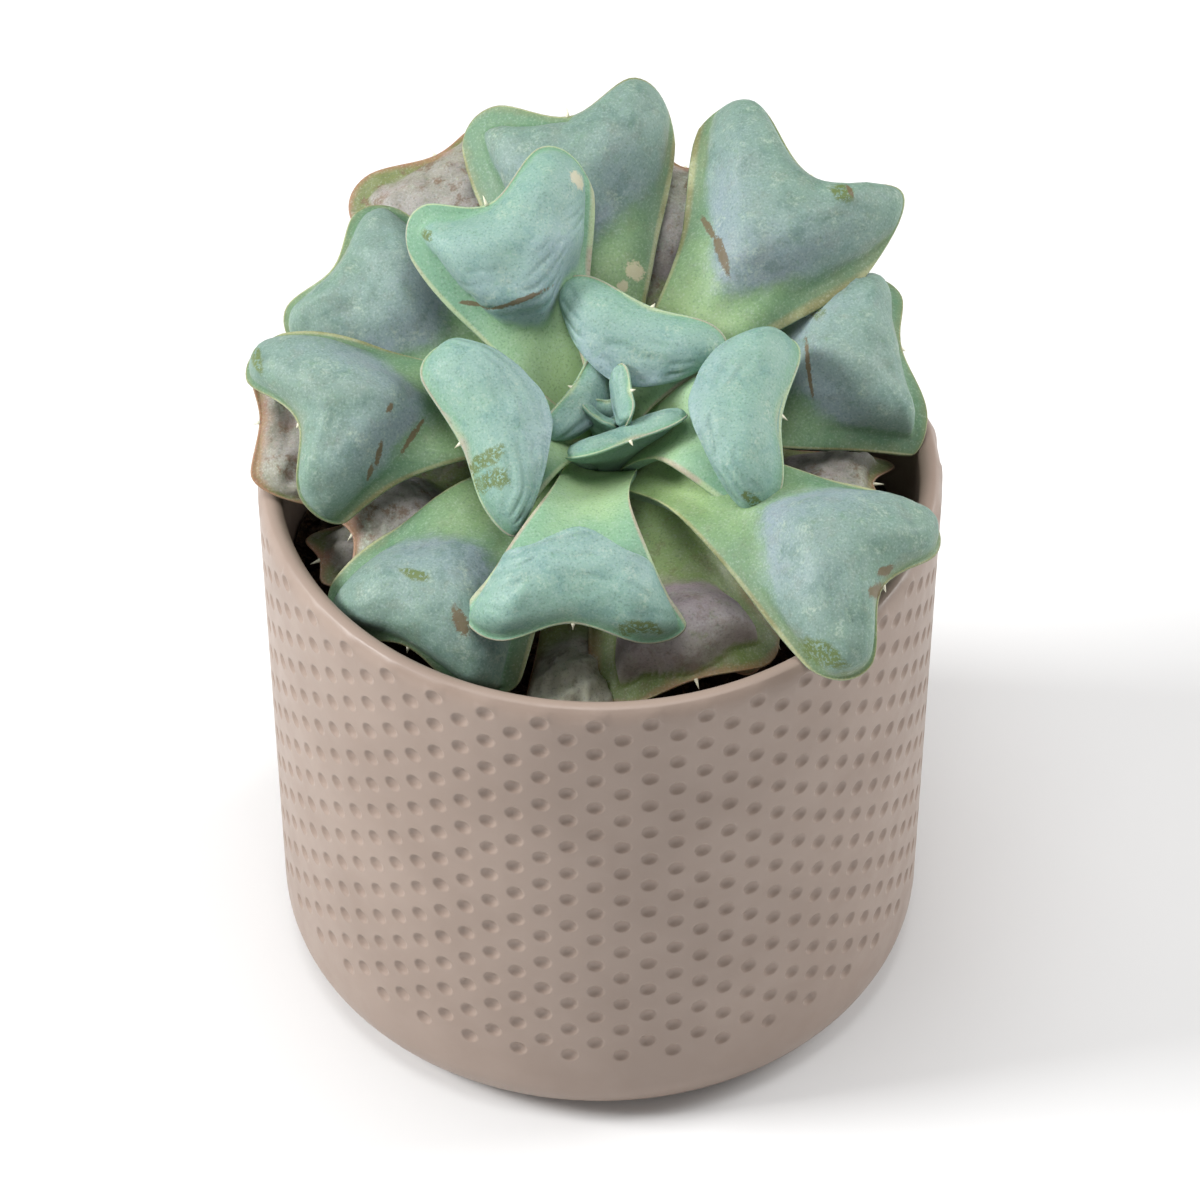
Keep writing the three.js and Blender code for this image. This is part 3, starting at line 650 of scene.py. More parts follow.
@dataclass(frozen=True)
class Placement:
    """Where the rosette's growing tip is, in millimetres, and how far its stem leans towards -Y."""

    tip: tuple[float, float, float] = (1.3, 0.0, 130.0)
    lean: float = 10.0

    def matrix(self) -> Matrix:
        """From the rosette's own frame, in millimetres, to the scene's."""
        move = Matrix.Translation(Vector(self.tip))
        return Matrix.Scale(MM, 4) @ move @ Matrix.Rotation(math.radians(self.lean), 4, "X")

    def put(self, points: np.ndarray) -> np.ndarray:
        """Rosette points in millimetres, as scene points in metres."""
        matrix = np.array(self.matrix())
        return points @ matrix[:3, :3].T + matrix[:3, 3]


@dataclass
class Pot:
    """The pot: tapered wall with a staggered net of round dimples, a round lip and a soft foot."""

    height: float = 112.0
    rim_radius: float = 62.5
    foot_radius: float = 59.0
    wall: float = 4.2
    floor: float = 5.0
    corner: float = 10.0
    columns: int = 78
    rows: int = 13
    pitch: float = 7.15
    top_gap: float = 3.6
    phase: float = -0.77
    dimple_rings: tuple[tuple[float, float], ...] = (
        (1.95, 0.0), (1.68, 0.0), (1.5, 0.17), (1.14, 0.45), (0.64, 0.66), (0.0, 0.74),
    )
    dimple_sides: int = 16
    corner_steps: int = 10
    lip_steps: int = 12
    finish: CeramicFinish = field(default_factory=CeramicFinish)

    def radius(self, z: float) -> float:
        """Outside radius of the tapered wall at a height."""
        return self.foot_radius + (self.rim_radius - self.foot_radius) * z / self.height

    def mean_radius(self) -> float:
        """Radius at which a dimple is round."""
        return self.radius(self.height / 2)

    def cell_mesh(self) -> bpy.types.Mesh:
        """One dimple in its rectangle of wall: x is the angle round the pot, y the depth, z the height.

        Returns:
            The cell's mesh, with its eight border points and its rings.
        """
        half_width = math.pi / self.columns
        half_height = self.pitch / 2 * MM
        border = [(1, 0), (1, 1), (0, 1), (-1, 1), (-1, 0), (-1, -1), (0, -1), (1, -1)]
        points = [(x * half_width, 0.0, z * half_height) for x, z in border]
        for radius, depth in self.dimple_rings[:-1]:
            for side in range(self.dimple_sides):
                angle = 2 * math.pi * side / self.dimple_sides
                across = radius * math.cos(angle) / self.mean_radius()
                points.append((across, depth * MM, radius * math.sin(angle) * MM))
        points.append((0.0, self.dimple_rings[-1][1] * MM, 0.0))
        first = len(border)
        faces = []
        for k in range(first):
            near = first + 2 * k
            middle = near + 1
            far = first + (2 * k + 2) % self.dimple_sides
            following = (k + 1) % first
            faces += [(k, middle, near), (k, following, middle), (following, far, middle)]
        for ring in range(len(self.dimple_rings) - 2):
            start = first + ring * self.dimple_sides
            for side in range(self.dimple_sides):
                after = (side + 1) % self.dimple_sides
                inner = start + self.dimple_sides
                faces.append((start + side, start + after, inner + after, inner + side))
        last = len(points) - 1
        start = last - self.dimple_sides
        for side in range(self.dimple_sides):
            faces.append((start + side, start + (side + 1) % self.dimple_sides, last))
        mesh = bpy.data.meshes.new("dimple_cell")
        mesh.from_pydata(points, [], faces)
        return mesh

    def dimpled_wall(self, material: bpy.types.Material) -> bpy.types.Mesh:
        """Lay the cells round the wall and up to the lip, and bend them to it.

        Args:
            material: The pot's ceramic.

        Returns:
            The dimpled band of wall.
        """
        tree = Growth("dimpled_wall")
        columns = tree.size("Columns", self.columns)
        rows = tree.size("Rows", self.rows)
        pitch = tree.size("Row Pitch", self.pitch * MM)
        top = tree.size("Top Row Height", (self.height - self.top_gap) * MM)
        phase = tree.size("First Column Angle", math.radians(self.phase))
        foot = tree.size("Foot Radius", self.foot_radius * MM)
        taper = tree.size("Taper", (self.rim_radius - self.foot_radius) / self.height)
        lip = tree.size("Lip Radius", self.wall / 2 * MM)
        bend_from = tree.size("Lip Starts", (self.height - self.wall / 2) * MM)

        index = tree.node("GeometryNodeInputIndex", {}).outputs[0]
        column = tree.math("FLOORED_MODULO", index, columns)
        row = tree.math("FLOOR", tree.math("DIVIDE", index, columns))
        half = tree.math("MULTIPLY", tree.math("FLOORED_MODULO", column, 2.0), 0.5)
        angle = tree.math("ADD", tree.math("MULTIPLY", tree.math("DIVIDE", column, columns), 2 * math.pi), phase)
        height = tree.math("SUBTRACT", top, tree.math("MULTIPLY", tree.math("ADD", row, half), pitch))
        spot = tree.node("ShaderNodeCombineXYZ", {0: angle, 2: height}).outputs[0]
        count = tree.math("MULTIPLY", columns, rows)
        spots = tree.node("GeometryNodePoints", {"Count": count, "Position": spot}).outputs[0]
        cells = tree.node("GeometryNodeInstanceOnPoints", {"Points": spots, "Instance": tree.entry.outputs[0]})
        laid = tree.node("GeometryNodeRealizeInstances", {0: cells.outputs[0]}).outputs[0]

        here = tree.node("ShaderNodeSeparateXYZ", {0: tree.node("GeometryNodeInputPosition", {}).outputs[0]})
        turn, depth, up = here.outputs
        over = tree.math("DIVIDE", tree.math("MAXIMUM", tree.math("SUBTRACT", up, bend_from), 0.0), lip)
        flat_up = tree.math("MINIMUM", up, bend_from)
        wall = tree.math("ADD", foot, tree.math("MULTIPLY", flat_up, taper))
        centre = tree.math("SUBTRACT", wall, lip)
        reach = tree.math("SUBTRACT", lip, depth)
        out = tree.math("ADD", centre, tree.math("MULTIPLY", reach, tree.math("COSINE", over)))
        rise = tree.math("ADD", flat_up, tree.math("MULTIPLY", reach, tree.math("SINE", over)))
        x = tree.math("MULTIPLY", out, tree.math("SINE", turn))
        y = tree.math("MULTIPLY", out, tree.math("MULTIPLY", tree.math("COSINE", turn), -1.0))
        bent = tree.node("ShaderNodeCombineXYZ", {0: x, 1: y, 2: rise}).outputs[0]
        wrapped = tree.node("GeometryNodeSetPosition", {"Geometry": laid, "Position": bent}).outputs[0]
        joined = tree.node("GeometryNodeMergeByDistance", {"Geometry": wrapped, "Distance": 0.02 * MM}).outputs[0]
        return tree.apply(seed_object("dimple_seed", self.cell_mesh()), joined, material)

    def ring_heights(self) -> tuple[list[tuple[float, float]], list[tuple[float, float]]]:
        """Radius and height of the plain rings.

        Returns:
            The rings from the dimples over the lip to the inner floor, and those from the dimples
            down to the foot.
        """
        lip = self.wall / 2
        bend_from = self.height - lip
        centre = self.radius(bend_from) - lip
        first = (self.height - self.top_gap + self.pitch / 2 - bend_from) / lip
        over = []
        for step in range(self.lip_steps + 1):
            angle = first + (math.pi - first) * step / self.lip_steps
            over.append((centre + lip * math.cos(angle), bend_from + lip * math.sin(angle)))
        inner_foot = self.floor + self.corner / 2
        for z in (bend_from - 3, 96, 84, 60, 30, inner_foot):
            over.append((self.radius(z) - self.wall, z))
        over.append((self.radius(self.floor) - self.wall - self.corner / 2, self.floor))
        lowest = self.height - self.top_gap - self.pitch * self.rows
        down = [(self.radius(z), z) for z in (lowest, (lowest + self.corner) / 2)]
        for step in range(self.corner_steps + 1):
            angle = math.pi / 2 * step / self.corner_steps
            z = self.corner * (1 - math.sin(angle))
            down.append((self.radius(z) - self.corner * (1 - math.cos(angle)), z))
        return over, down

    def build(self) -> bpy.types.Object:
        """Join the dimpled wall with the lip, the inside and the foot."""
        material = self.finish.material()
        work = bmesh.new()
        work.from_mesh(self.dimpled_wall(material))
        sides = 2 * self.columns
        angles = [math.radians(self.phase) + 2 * math.pi * k / sides for k in range(sides)]

        def ring(radius: float, z: float) -> list[bmesh.types.BMVert]:
            """A ring of points."""
            spots = [(radius * math.sin(a) * MM, -radius * math.cos(a) * MM, z * MM) for a in angles]
            return [work.verts.new(spot) for spot in spots]

        def band(lower: list, upper: list, wanted: range) -> None:
            """Faces between two rings, outside up."""
            for k in wanted:
                after = (k + 1) % sides
                work.faces.new((lower[k], lower[after], upper[after], upper[k]))

        over, down = self.ring_heights()
        rings_over = [ring(*size) for size in over]
        rings_down = [ring(*size) for size in down]
        for lower, upper in zip(rings_over, rings_over[1:]):
            band(lower, upper, range(sides))
        for upper, lower in zip(rings_down, rings_down[1:]):
            band(lower, upper, range(sides))
        work.faces.new(rings_over[-1])
        work.faces.new(reversed(rings_down[-1]))

        half = self.pitch / 2
        top = self.height - self.top_gap
        low = top - half * (2 * self.rows - 1)
        rings_half = ring(self.radius(top), top), ring(self.radius(low), low)
        odd = [k % sides for column in range(1, self.columns, 2) for k in (2 * column - 1, 2 * column)]
        even = [k % sides for column in range(0, self.columns, 2) for k in (2 * column - 1, 2 * column)]
        band(rings_half[0], rings_over[0], odd)
        band(rings_down[0], rings_half[1], even)
        loose = [vert for vert in work.verts if not vert.link_faces]
        bmesh.ops.delete(work, geom=loose, context="VERTS")
        bmesh.ops.remove_doubles(work, verts=work.verts, dist=0.03 * MM)
        mesh = bpy.data.meshes.new("pot_ceramic")
        open_edges = sum(1 for edge in work.edges if not edge.is_manifold)
        LOG.info("pot: %d open edges", open_edges)
        work.to_mesh(mesh)
        mesh.materials.clear()
        mesh.materials.append(material)
        return add_piece("pot_ceramic", mesh, "pot", "pot")


@dataclass
class PottingSoil:
    """The soil: a rough mound with a hollow for the stem, covered in loose crumbs."""

    level: float = 84.0
    mound: float = 2.0
    bottom: float = 5.4
    gap: float = 0.4
    rays: int = 96
    rings: int = 26
    hollow: float = 6.9
    crumbs_per_square_metre: float = 260000.0
    crumb_size: float = 1.5
    seed: int = 7
    finish: SoilFinish = field(default_factory=SoilFinish)

    def hollow_centre(self, placement: Placement) -> tuple[float, float]:
        """Where the leaning stem passes through the soil's top."""
        drop = placement.tip[2] - self.level - self.mound
        return placement.tip[0], placement.tip[1] + drop * math.tan(math.radians(placement.lean))

    def surface(self, pot: Pot, placement: Placement) -> bpy.types.Mesh:
        """The soil's closed body: top rings round the stem's hollow, then the side and the bottom.

        Args:
            pot: The pot that it fills.
            placement: Where the stem is.

        Returns:
            The closed mesh.
        """
        centre = self.hollow_centre(placement)
        outer = pot.radius(self.level) - pot.wall - self.gap
        points = []
        for ring in range(self.rings + 1):
            share = (ring / self.rings) ** 1.3
            for ray in range(self.rays):
                angle = 2 * math.pi * ray / self.rays
                rim = (outer * math.cos(angle), outer * math.sin(angle))
                start = (centre[0] + self.hollow * math.cos(angle), centre[1] + self.hollow * math.sin(angle))
                x = start[0] + (rim[0] - start[0]) * share
                y = start[1] + (rim[1] - start[1]) * share
                lump = noise.fractal(Vector((x, y, 3.0)) / 9, 1.0, 2.0, 4) * 1.6
                settled = self.level + self.mound * (1 - (math.hypot(x, y) / outer) ** 2) + lump * (1 - share**6)
                points.append((x, y, settled))
        well = [(x, y, self.level - 12) for x, y, _ in points[: self.rays]]
        base_radius = pot.radius(self.bottom) - pot.wall - pot.corner / 2 - self.gap
        low_radius = pot.radius(12) - pot.wall - self.gap
        scale_low, scale_base = low_radius / outer, base_radius / outer
        rim = points[-self.rays :]
        low = [(x * scale_low, y * scale_low, 12.0) for x, y, _ in rim]
        base = [(x * scale_base, y * scale_base, self.bottom) for x, y, _ in rim]
        rows = [well] + [points[i : i + self.rays] for i in range(0, len(points), self.rays)] + [low, base]
        faces = []
        for row in range(len(rows) - 1):
            for ray in range(self.rays):
                after = (ray + 1) % self.rays
                first, second = row * self.rays, (row + 1) * self.rays
                faces.append((first + ray, second + ray, second + after, first + after))
        faces.append(tuple(range(self.rays)))
        faces.append(tuple(reversed(range((len(rows) - 1) * self.rays, len(rows) * self.rays))))
        mesh = bpy.data.meshes.new("soil_body")
        mesh.from_pydata([tuple(c * MM for c in point) for row in rows for point in row], [], faces)
        return mesh

    def build(self, pot: Pot, placement: Placement) -> bpy.types.Object:
        """Scatter crumbs over the soil's top and join them with it."""
        material = self.finish.material()
        tree = Growth("soil_crumbs")
        density = tree.size("Crumbs per Square Metre", self.crumbs_per_square_metre)
        size = tree.size("Crumb Size", self.crumb_size * MM)
        lowest = tree.size("Lowest Top", (self.level - 3) * MM)
        seed = tree.size("Seed", self.seed)

        body = tree.entry.outputs[0]
        position = tree.node("GeometryNodeInputPosition", {}).outputs[0]
        height = tree.node("ShaderNodeSeparateXYZ", {0: position}).outputs[2]
        normal = tree.node("GeometryNodeInputNormal", {}).outputs[0]
        up = tree.node("ShaderNodeSeparateXYZ", {0: normal}).outputs[2]
        level = tree.node("FunctionNodeCompare", {0: height, 1: lowest}, operation="GREATER_THAN").outputs[0]
        facing = tree.node("FunctionNodeCompare", {0: up, 1: 0.3}, operation="GREATER_THAN").outputs[0]
        top = tree.node("FunctionNodeBooleanMath", {0: level, 1: facing}, operation="AND").outputs[0]
        spread = {"Mesh": body, "Selection": top, "Density": density, "Seed": seed}
        spots = tree.node("GeometryNodeDistributePointsOnFaces", spread).outputs[0]
        crumb = tree.node("GeometryNodeMeshIcoSphere", {"Radius": size, "Subdivisions": 1}).outputs[0]
        scale = {0: (0.35, 0.3, 0.3), 1: (1.5, 1.1, 0.9), "Seed": seed}
        random_scale = tree.node("FunctionNodeRandomValue", scale, data_type="FLOAT_VECTOR").outputs[0]
        spin = {0: (0.0, 0.0, 0.0), 1: (6.28, 6.28, 6.28), "Seed": 3}
        random_spin = tree.node("FunctionNodeRandomValue", spin, data_type="FLOAT_VECTOR").outputs[0]
        laid = {"Points": spots, "Instance": crumb, "Scale": random_scale, "Rotation": random_spin}
        crumbs = tree.node("GeometryNodeInstanceOnPoints", laid).outputs[0]
        real = tree.node("GeometryNodeRealizeInstances", {0: crumbs}).outputs[0]
        rough = tree.node("ShaderNodeTexNoise", {"Vector": position, "Scale": 900.0, "Detail": 2.0}).outputs["Color"]
        centred = tree.node("ShaderNodeVectorMath", {0: rough, 1: (0.5, 0.5, 0.5)}, operation="SUBTRACT").outputs[0]
        shift = tree.node("ShaderNodeVectorMath", {0: centred, "Scale": 0.002}, operation="SCALE").outputs[0]
        broken = tree.node("GeometryNodeSetPosition", {"Geometry": real, "Offset": shift}).outputs[0]
        joined = tree.node("GeometryNodeJoinGeometry", {0: broken})
        tree.group.links.new(body, joined.inputs[0])
        mesh = tree.apply(seed_object("soil_seed", self.surface(pot, placement)), joined.outputs[0], material)
        piece = add_piece("soil_mix", mesh, "soil", "soil")
        mesh.polygons.foreach_set("use_smooth", [False] * len(mesh.polygons))
        return piece


@dataclass
class Leaf:
    """One fleshy leaf: a channelled stalk that widens into a heart-shaped blade with a raised cushion.

    turn is its heading in degrees, anticlockwise from +X. root is its distance from the stem's axis and
    its height from the growing tip. rise is the midrib's slope at the root, half way and at the notch.
    Each pair of sizes holds the right side's and the left side's, as one looks out along the leaf:
    half its width, how far the lobe reaches past the notch, how far its shoulder falls back from there,
    and the flat flange left outside the cushion.
    """

    name: str
    turn: float
    root: tuple[float, float]
    rise: tuple[float, float, float]
    length: float
    half: Pair
    neck: float
    lobe: Pair
    shoulder: Pair
    twist: float = 0.0
    sweep: float = 0.0
    cup: float = 20.0
    roll: float = 40.0
    pillow: float = 6.0
    start: float = 0.5
    arch: float = 0.18
    steep: float = 0.25
    lean: float = 0.3
    bulge: float = 0.35
    thick: float = 3.2
    flare: float = 1.0
    flange: Pair = (0.3, 0.3)
    fullness: float = 0.75
    spine: float = 2.0
    edge_thickness: float = 0.45
    lobe_top: float = 0.45
    arch_curve: float = 2.2
    hollow_share: float = 0.45
    columns: int = 22
    stalk_rows: int = 13
    wall_rows: int = 9
    blade_rows: int = 24

    def age(self) -> Age:
        """How old the leaf is, from its number."""
        number = int(self.name[-2:])
        if number <= 8:
            return Age.YOUNG
        return Age.GROWN if number <= 16 else Age.OLD

    def midrib(self, distance: np.ndarray) -> tuple[np.ndarray, ...]:
        """The midrib's point and its along, side and normal directions at distances from the root.

        Args:
            distance: Distances along the midrib, in millimetres.

        Returns:
            Four arrays of vectors.
        """
        count = 160
        step = self.length * 1.35 / count
        share = np.arange(count + 1) * step / self.length
        bend = np.minimum(share, 1.25)
        low, middle, high = np.radians(self.rise)
        slope = (1 - bend) ** 2 * low + 2 * bend * (1 - bend) * middle + bend**2 * high
        heading = math.radians(self.turn) + math.radians(self.sweep) * bend**2
        along = np.stack([np.cos(slope) * np.cos(heading), np.cos(slope) * np.sin(heading), np.sin(slope)], -1)
        level = np.stack([-np.sin(heading), np.cos(heading), np.zeros_like(heading)], -1)
        square = np.cross(along, level)
        twist = (math.radians(self.twist) * ease(share))[:, None]
        side = level * np.cos(twist) + square * np.sin(twist)
        normal = np.cross(along, side)
        turn = math.radians(self.turn)
        start = np.array([self.root[0] * math.cos(turn), self.root[0] * math.sin(turn), self.root[1]])
        moves = (along[1:] + along[:-1]) / 2 * step
        point = start + np.concatenate([np.zeros((1, 3)), np.cumsum(moves, 0)])
        at = np.clip(distance / step, 0, count - 1e-6)
        low_index = at.astype(int)
        part = (at - low_index)[..., None]
        return tuple(t[low_index] * (1 - part) + t[low_index + 1] * part for t in (point, along, side, normal))

    def grid(self) -> tuple[np.ndarray, np.ndarray]:
        """The places along and across the leaf at which it is meshed.

        Returns:
            Along and across, each from rows by columns.
        """
        v = np.linspace(-1, 1, 2 * self.columns + 1)
        foot = np.minimum(self.start + self.arch * np.abs(v) ** self.arch_curve, 0.93)
        crest = np.minimum(foot + self.steep, 0.97)
        stalk = np.linspace(0, 1, self.stalk_rows, endpoint=False)[:, None] * foot
        wall = foot + np.linspace(0, 1, self.wall_rows, endpoint=False)[:, None] * (crest - foot)
        outward = np.sin(np.linspace(0, math.pi / 2, self.blade_rows))[:, None]
        blade = crest + outward * (1 - crest)
        u = np.concatenate([stalk, wall, blade])
        return u, np.broadcast_to(v, u.shape)

    def shape(self, u: np.ndarray, v: np.ndarray) -> dict[str, np.ndarray]:
        """Upper and lower points of the leaf and what its skin needs to know there.

        Args:
            u: Places along it, 0 at the root and 1 at the edge.
            v: Places across it, from -1 to 1.

        Returns:
            Arrays by name.
        """
        t = np.abs(v)
        half, lobe, shoulder, flange = (
            np.where(v < 0, right, left) for right, left in (self.half, self.lobe, self.shoulder, self.flange)
        )
        past = np.clip((t - self.lobe_top) / (1 - self.lobe_top), 0, 1)
        end = self.length + lobe * ease(t / self.lobe_top) - shoulder * (1 - np.cos(math.pi / 2 * past))
        width = self.neck + (half - self.neck) * (0.35 * u + 0.65 * ease(u)) ** self.flare
        x = width * np.sin(math.pi / 2 * t) * np.sign(v)

        blade = ease((u - self.start + 0.25) / 0.45)
        roll = np.radians(-self.cup + (self.roll + self.cup) * blade)
        bend = np.where(np.abs(roll) < 1e-4, 1e-4, roll) / width
        across = np.sin(bend * x) / bend
        drop = (1 - np.cos(bend * x)) / bend

        foot = self.start + self.arch * t**self.arch_curve
        notch = 0.25 + 0.75 * ease(t / 0.35)
        outer = 1 - flange * notch / end
        beyond = np.clip((u - foot - self.steep) / np.maximum(outer - foot - self.steep, 0.02), 0, 1)
        swell = ease((u - foot) / self.steep) * (1 - beyond**4.5) ** (0.85 * self.fullness)
        across_share = np.sin(math.pi / 2 * t)
        inset = np.clip(across_share / np.maximum(1 - flange / width, 0.4), 0, 1)
        height = self.pillow * swell * (1 - inset**6.5) ** 0.56

        core = (self.thick - self.edge_thickness) * (1 - t**4) * (1 - u**6)
        thickness = self.edge_thickness + core
        point, along, side, normal = self.midrib(u * end)
        middle = point + side * across[..., None]
        spill = self.bulge * height * inset**3 * np.sign(v)
        top = middle + normal * (height - drop)[..., None] - along * (self.lean * height)[..., None]
        top = top + side * spill[..., None]
        bottom = middle + normal * (self.hollow_share * height - drop - thickness)[..., None]
        edge = np.minimum(width * (1 - np.sin(math.pi / 2 * t)), (1 - u) * end)
        fold = (u - foot) * end
        flat = np.stack([x, u * end], -1)
        return {
            "top": top, "bottom": bottom, "normal": normal, "along": along, "cushion": height / self.pillow,
            "edge": edge, "fold": fold, "reach": u, "flat": flat,
        }

    def lumps(self, points: np.ndarray, amount: np.ndarray) -> np.ndarray:
        """Small uneven swellings, as heights for an array of points.

        Args:
            points: Points in millimetres.
            amount: How strong the swelling is at each.

        Returns:
            Heights in millimetres.
        """
        shift = Vector((hash_number(self.name), 0, 0))
        crumple = {Age.YOUNG: 0.3, Age.GROWN: 0.6, Age.OLD: 1.5}[self.age()]
        heights = [
            noise.fractal(Vector(p) / 11 + shift, 0.9, 2.1, 3)
            + crumple * noise.fractal(Vector(p) / 4.6 - shift, 0.8, 2.2, 3)
            for p in points.reshape(-1, 3)
        ]
        return np.array(heights).reshape(points.shape[:-1]) * amount

    def mesh(self, placement: Placement) -> bpy.types.Mesh:
        """The leaf's closed mesh with what its skin needs at each point.

        Args:
            placement: Where the rosette is.

        Returns:
            The mesh, in place.
        """
        u, v = self.grid()
        rows, columns = u.shape
        shape = self.shape(u, v)
        small = min(1.0, self.length / 40)
        uneven = self.lumps(shape["top"], (0.25 + 0.75 * shape["cushion"]) * small)
        fade = np.clip(shape["edge"] / 2, 0, 1)
        top = shape["top"] + shape["normal"] * (uneven * fade)[..., None]
        bottom = shape["bottom"] + shape["normal"] * (uneven * fade * 0.5)[..., None]

        index = np.arange(rows * columns).reshape(rows, columns)
        loop = np.concatenate([index[0, :], index[1:, -1], index[-1, -2::-1], index[-2:0:-1, 0]])
        inner_row = np.clip(np.arange(rows), 1, rows - 2)[:, None]
        inner_column = np.clip(np.arange(columns), 1, columns - 2)[None, :]
        inner = index[inner_row, inner_column]
        flat_top, flat_bottom = top.reshape(-1, 3), bottom.reshape(-1, 3)
        outward = flat_top[loop] - flat_top[inner.ravel()[loop]]
        outward /= np.maximum(np.linalg.norm(outward, axis=1, keepdims=True), 1e-6)
        thickness = np.linalg.norm(flat_top[loop] - flat_bottom[loop], axis=1, keepdims=True)
        at_root = np.zeros(len(loop))
        at_root[:columns] = 1
        round_edge = (flat_top[loop] + flat_bottom[loop]) / 2 + outward * thickness * (0.5 - 0.5 * at_root[:, None])

        count = rows * columns
        points = placement.put(np.concatenate([flat_top, flat_bottom, round_edge]))
        quads = np.stack([index[:-1, :-1], index[:-1, 1:], index[1:, 1:], index[1:, :-1]], -1).reshape(-1, 4)
        around = np.roll(np.arange(len(loop)), -1)
        middle = 2 * count + np.arange(len(loop))
        upper_rim = np.stack([loop, middle, middle[around], loop[around]], -1)
        lower_rim = np.stack([middle, loop + count, loop[around] + count, middle[around]], -1)
        faces = np.concatenate([quads, quads[:, ::-1] + count, upper_rim, lower_rim])
        mesh = bpy.data.meshes.new(self.name + "_flesh")
        mesh.from_pydata(points.tolist(), [], faces[:, ::-1].tolist())

        def spread(values: np.ndarray, lower: float | None = None) -> np.ndarray:
            """A value of every point from the grid's, with the lower face's own value if it has one."""
            flat_values = values.reshape(-1)
            under = flat_values if lower is None else np.full(count, lower)
            return np.concatenate([flat_values, under, (flat_values[loop] + under[loop]) / 2])

        painted = {
            "cushion": spread(shape["cushion"], 0.0), "edge": spread(shape["edge"]), "fold": spread(shape["fold"]),
            "reach": spread(shape["reach"]), "under": spread(np.zeros(count), 1.0),
        }
        for name, values in painted.items():
            layer = mesh.attributes.new(name, "FLOAT", "POINT")
            layer.data.foreach_set("value", values.astype(np.float32))
        flat = shape["flat"].reshape(-1, 2) * MM * 10
        flat = np.concatenate([flat, flat, flat[loop]])
        corner = np.zeros(len(mesh.loops), dtype=np.int32)
        mesh.loops.foreach_get("vertex_index", corner)
        mesh.uv_layers.new(name="leaf").data.foreach_set("uv", flat[corner].ravel().astype(np.float32))
        return mesh

    def notch(self, placement: Placement) -> tuple[np.ndarray, np.ndarray]:
        """Where the spine stands and where it points.

        Args:
            placement: Where the rosette is.

        Returns:
            The point and the direction, in the scene's frame.
        """
        shape = self.shape(np.array([[0.985, 1.0]]), np.zeros((1, 2)))
        middle = (shape["top"][0] + shape["bottom"][0]) / 2
        ends = placement.put(middle)
        aim = ends[1] - ends[0]
        return ends[1], aim / np.linalg.norm(aim)

    def build(self, placement: Placement) -> bpy.types.Object:
        """Mesh and dress the leaf."""
        mesh = self.mesh(placement)
        age = self.age()
        finish = OWN_FINISHES.get(self.name, FINISHES[age])
        mesh.materials.append(finish.material(self.name + "_skin", MARKS.get(self.name, ())))
        return add_piece(self.name + "_flesh", mesh, age.value, self.name)


def hash_number(name: str) -> float:
    """A fixed number for a name."""
    return sum((i + 3) * ord(letter) for i, letter in enumerate(name)) % 97


TIP_LEAVES = [
    Leaf(
        "bud_03", 315, (0.6, -10), (85, 78, 70), 4.5, (2, 2), 1.4, (0.3, 0.3), (0.8, 0.8),
        roll=-20, pillow=1, start=0.4, thick=1.2,
    ),
    Leaf(
        "bud_02", 92, (0.8, -10.3), (86, 80, 72), 6.5, (3, 3), 1.8, (0.5, 0.5), (1.2, 1.2),
        roll=-20, pillow=1.2, start=0.4, thick=1.4,
    ),
    Leaf(
        "bud_01", 230, (1.1, -10.6), (84, 76, 68), 8, (4, 4), 2, (0.7, 0.7), (1.6, 1.6),
        roll=-20, pillow=1.4, start=0.4, thick=1.6,
    ),
]


@dataclass
class Stem:
    """The short stem: rings where old leaves were, with the youngest leaves at its tip."""

    profile: tuple[tuple[float, float], ...] = (
        (0, -66), (3.2, -66), (5.4, -62), (6.2, -56), (6.4, -44), (6.4, -30), (6.3, -22), (5.7, -19),
        (5.0, -17), (4.0, -16), (3.2, -15), (2.3, -14), (1.8, -12.5), (1.3, -11.2), (1.0, -10.3), (0, -10),
    )
    sides: int = 40
    rings: int = 90
    finish: BarkFinish = field(default_factory=BarkFinish)

    def build(self, placement: Placement) -> list[bpy.types.Object]:
        """Turn the stem and grow the tip's leaves."""
        radii, heights = np.array(self.profile).T
        z = np.linspace(heights[0] + 0.4, heights[-1] - 0.1, self.rings)
        radius = np.interp(z, heights, radii)
        radius = radius + 0.18 * np.sin(z * 2.4) * np.clip((radius - 3) / 3, 0, 1)
        turn = np.linspace(0, 2 * math.pi, self.sides, endpoint=False)
        wobble = 1 + 0.02 * np.sin(3 * turn)[None, :] * np.cos(z / 5)[:, None]
        reach = radius[:, None] * wobble
        points = np.stack([reach * np.cos(turn), reach * np.sin(turn), np.broadcast_to(z[:, None], reach.shape)], -1)
        index = np.arange(self.rings * self.sides).reshape(self.rings, self.sides)
        after = np.roll(index, -1, axis=1)
        quads = np.stack([index[:-1], after[:-1], after[1:], index[1:]], -1).reshape(-1, 4).tolist()
        caps = [index[0, ::-1].tolist(), index[-1].tolist()]
        mesh = bpy.data.meshes.new("stem_bark")
        mesh.from_pydata(placement.put(points.reshape(-1, 3)).tolist(), [], quads + caps)
        mesh.materials.append(self.finish.material())
        pieces = [add_piece("stem_bark", mesh, "stem", "stem")]
        for leaf in TIP_LEAVES:
            bud = leaf.mesh(placement)
            bud.materials.append(FINISHES[Age.YOUNG].material(leaf.name + "_skin", ()))
            pieces.append(add_piece("tip_" + leaf.name, bud, "young_leaf", "stem"))
        return pieces


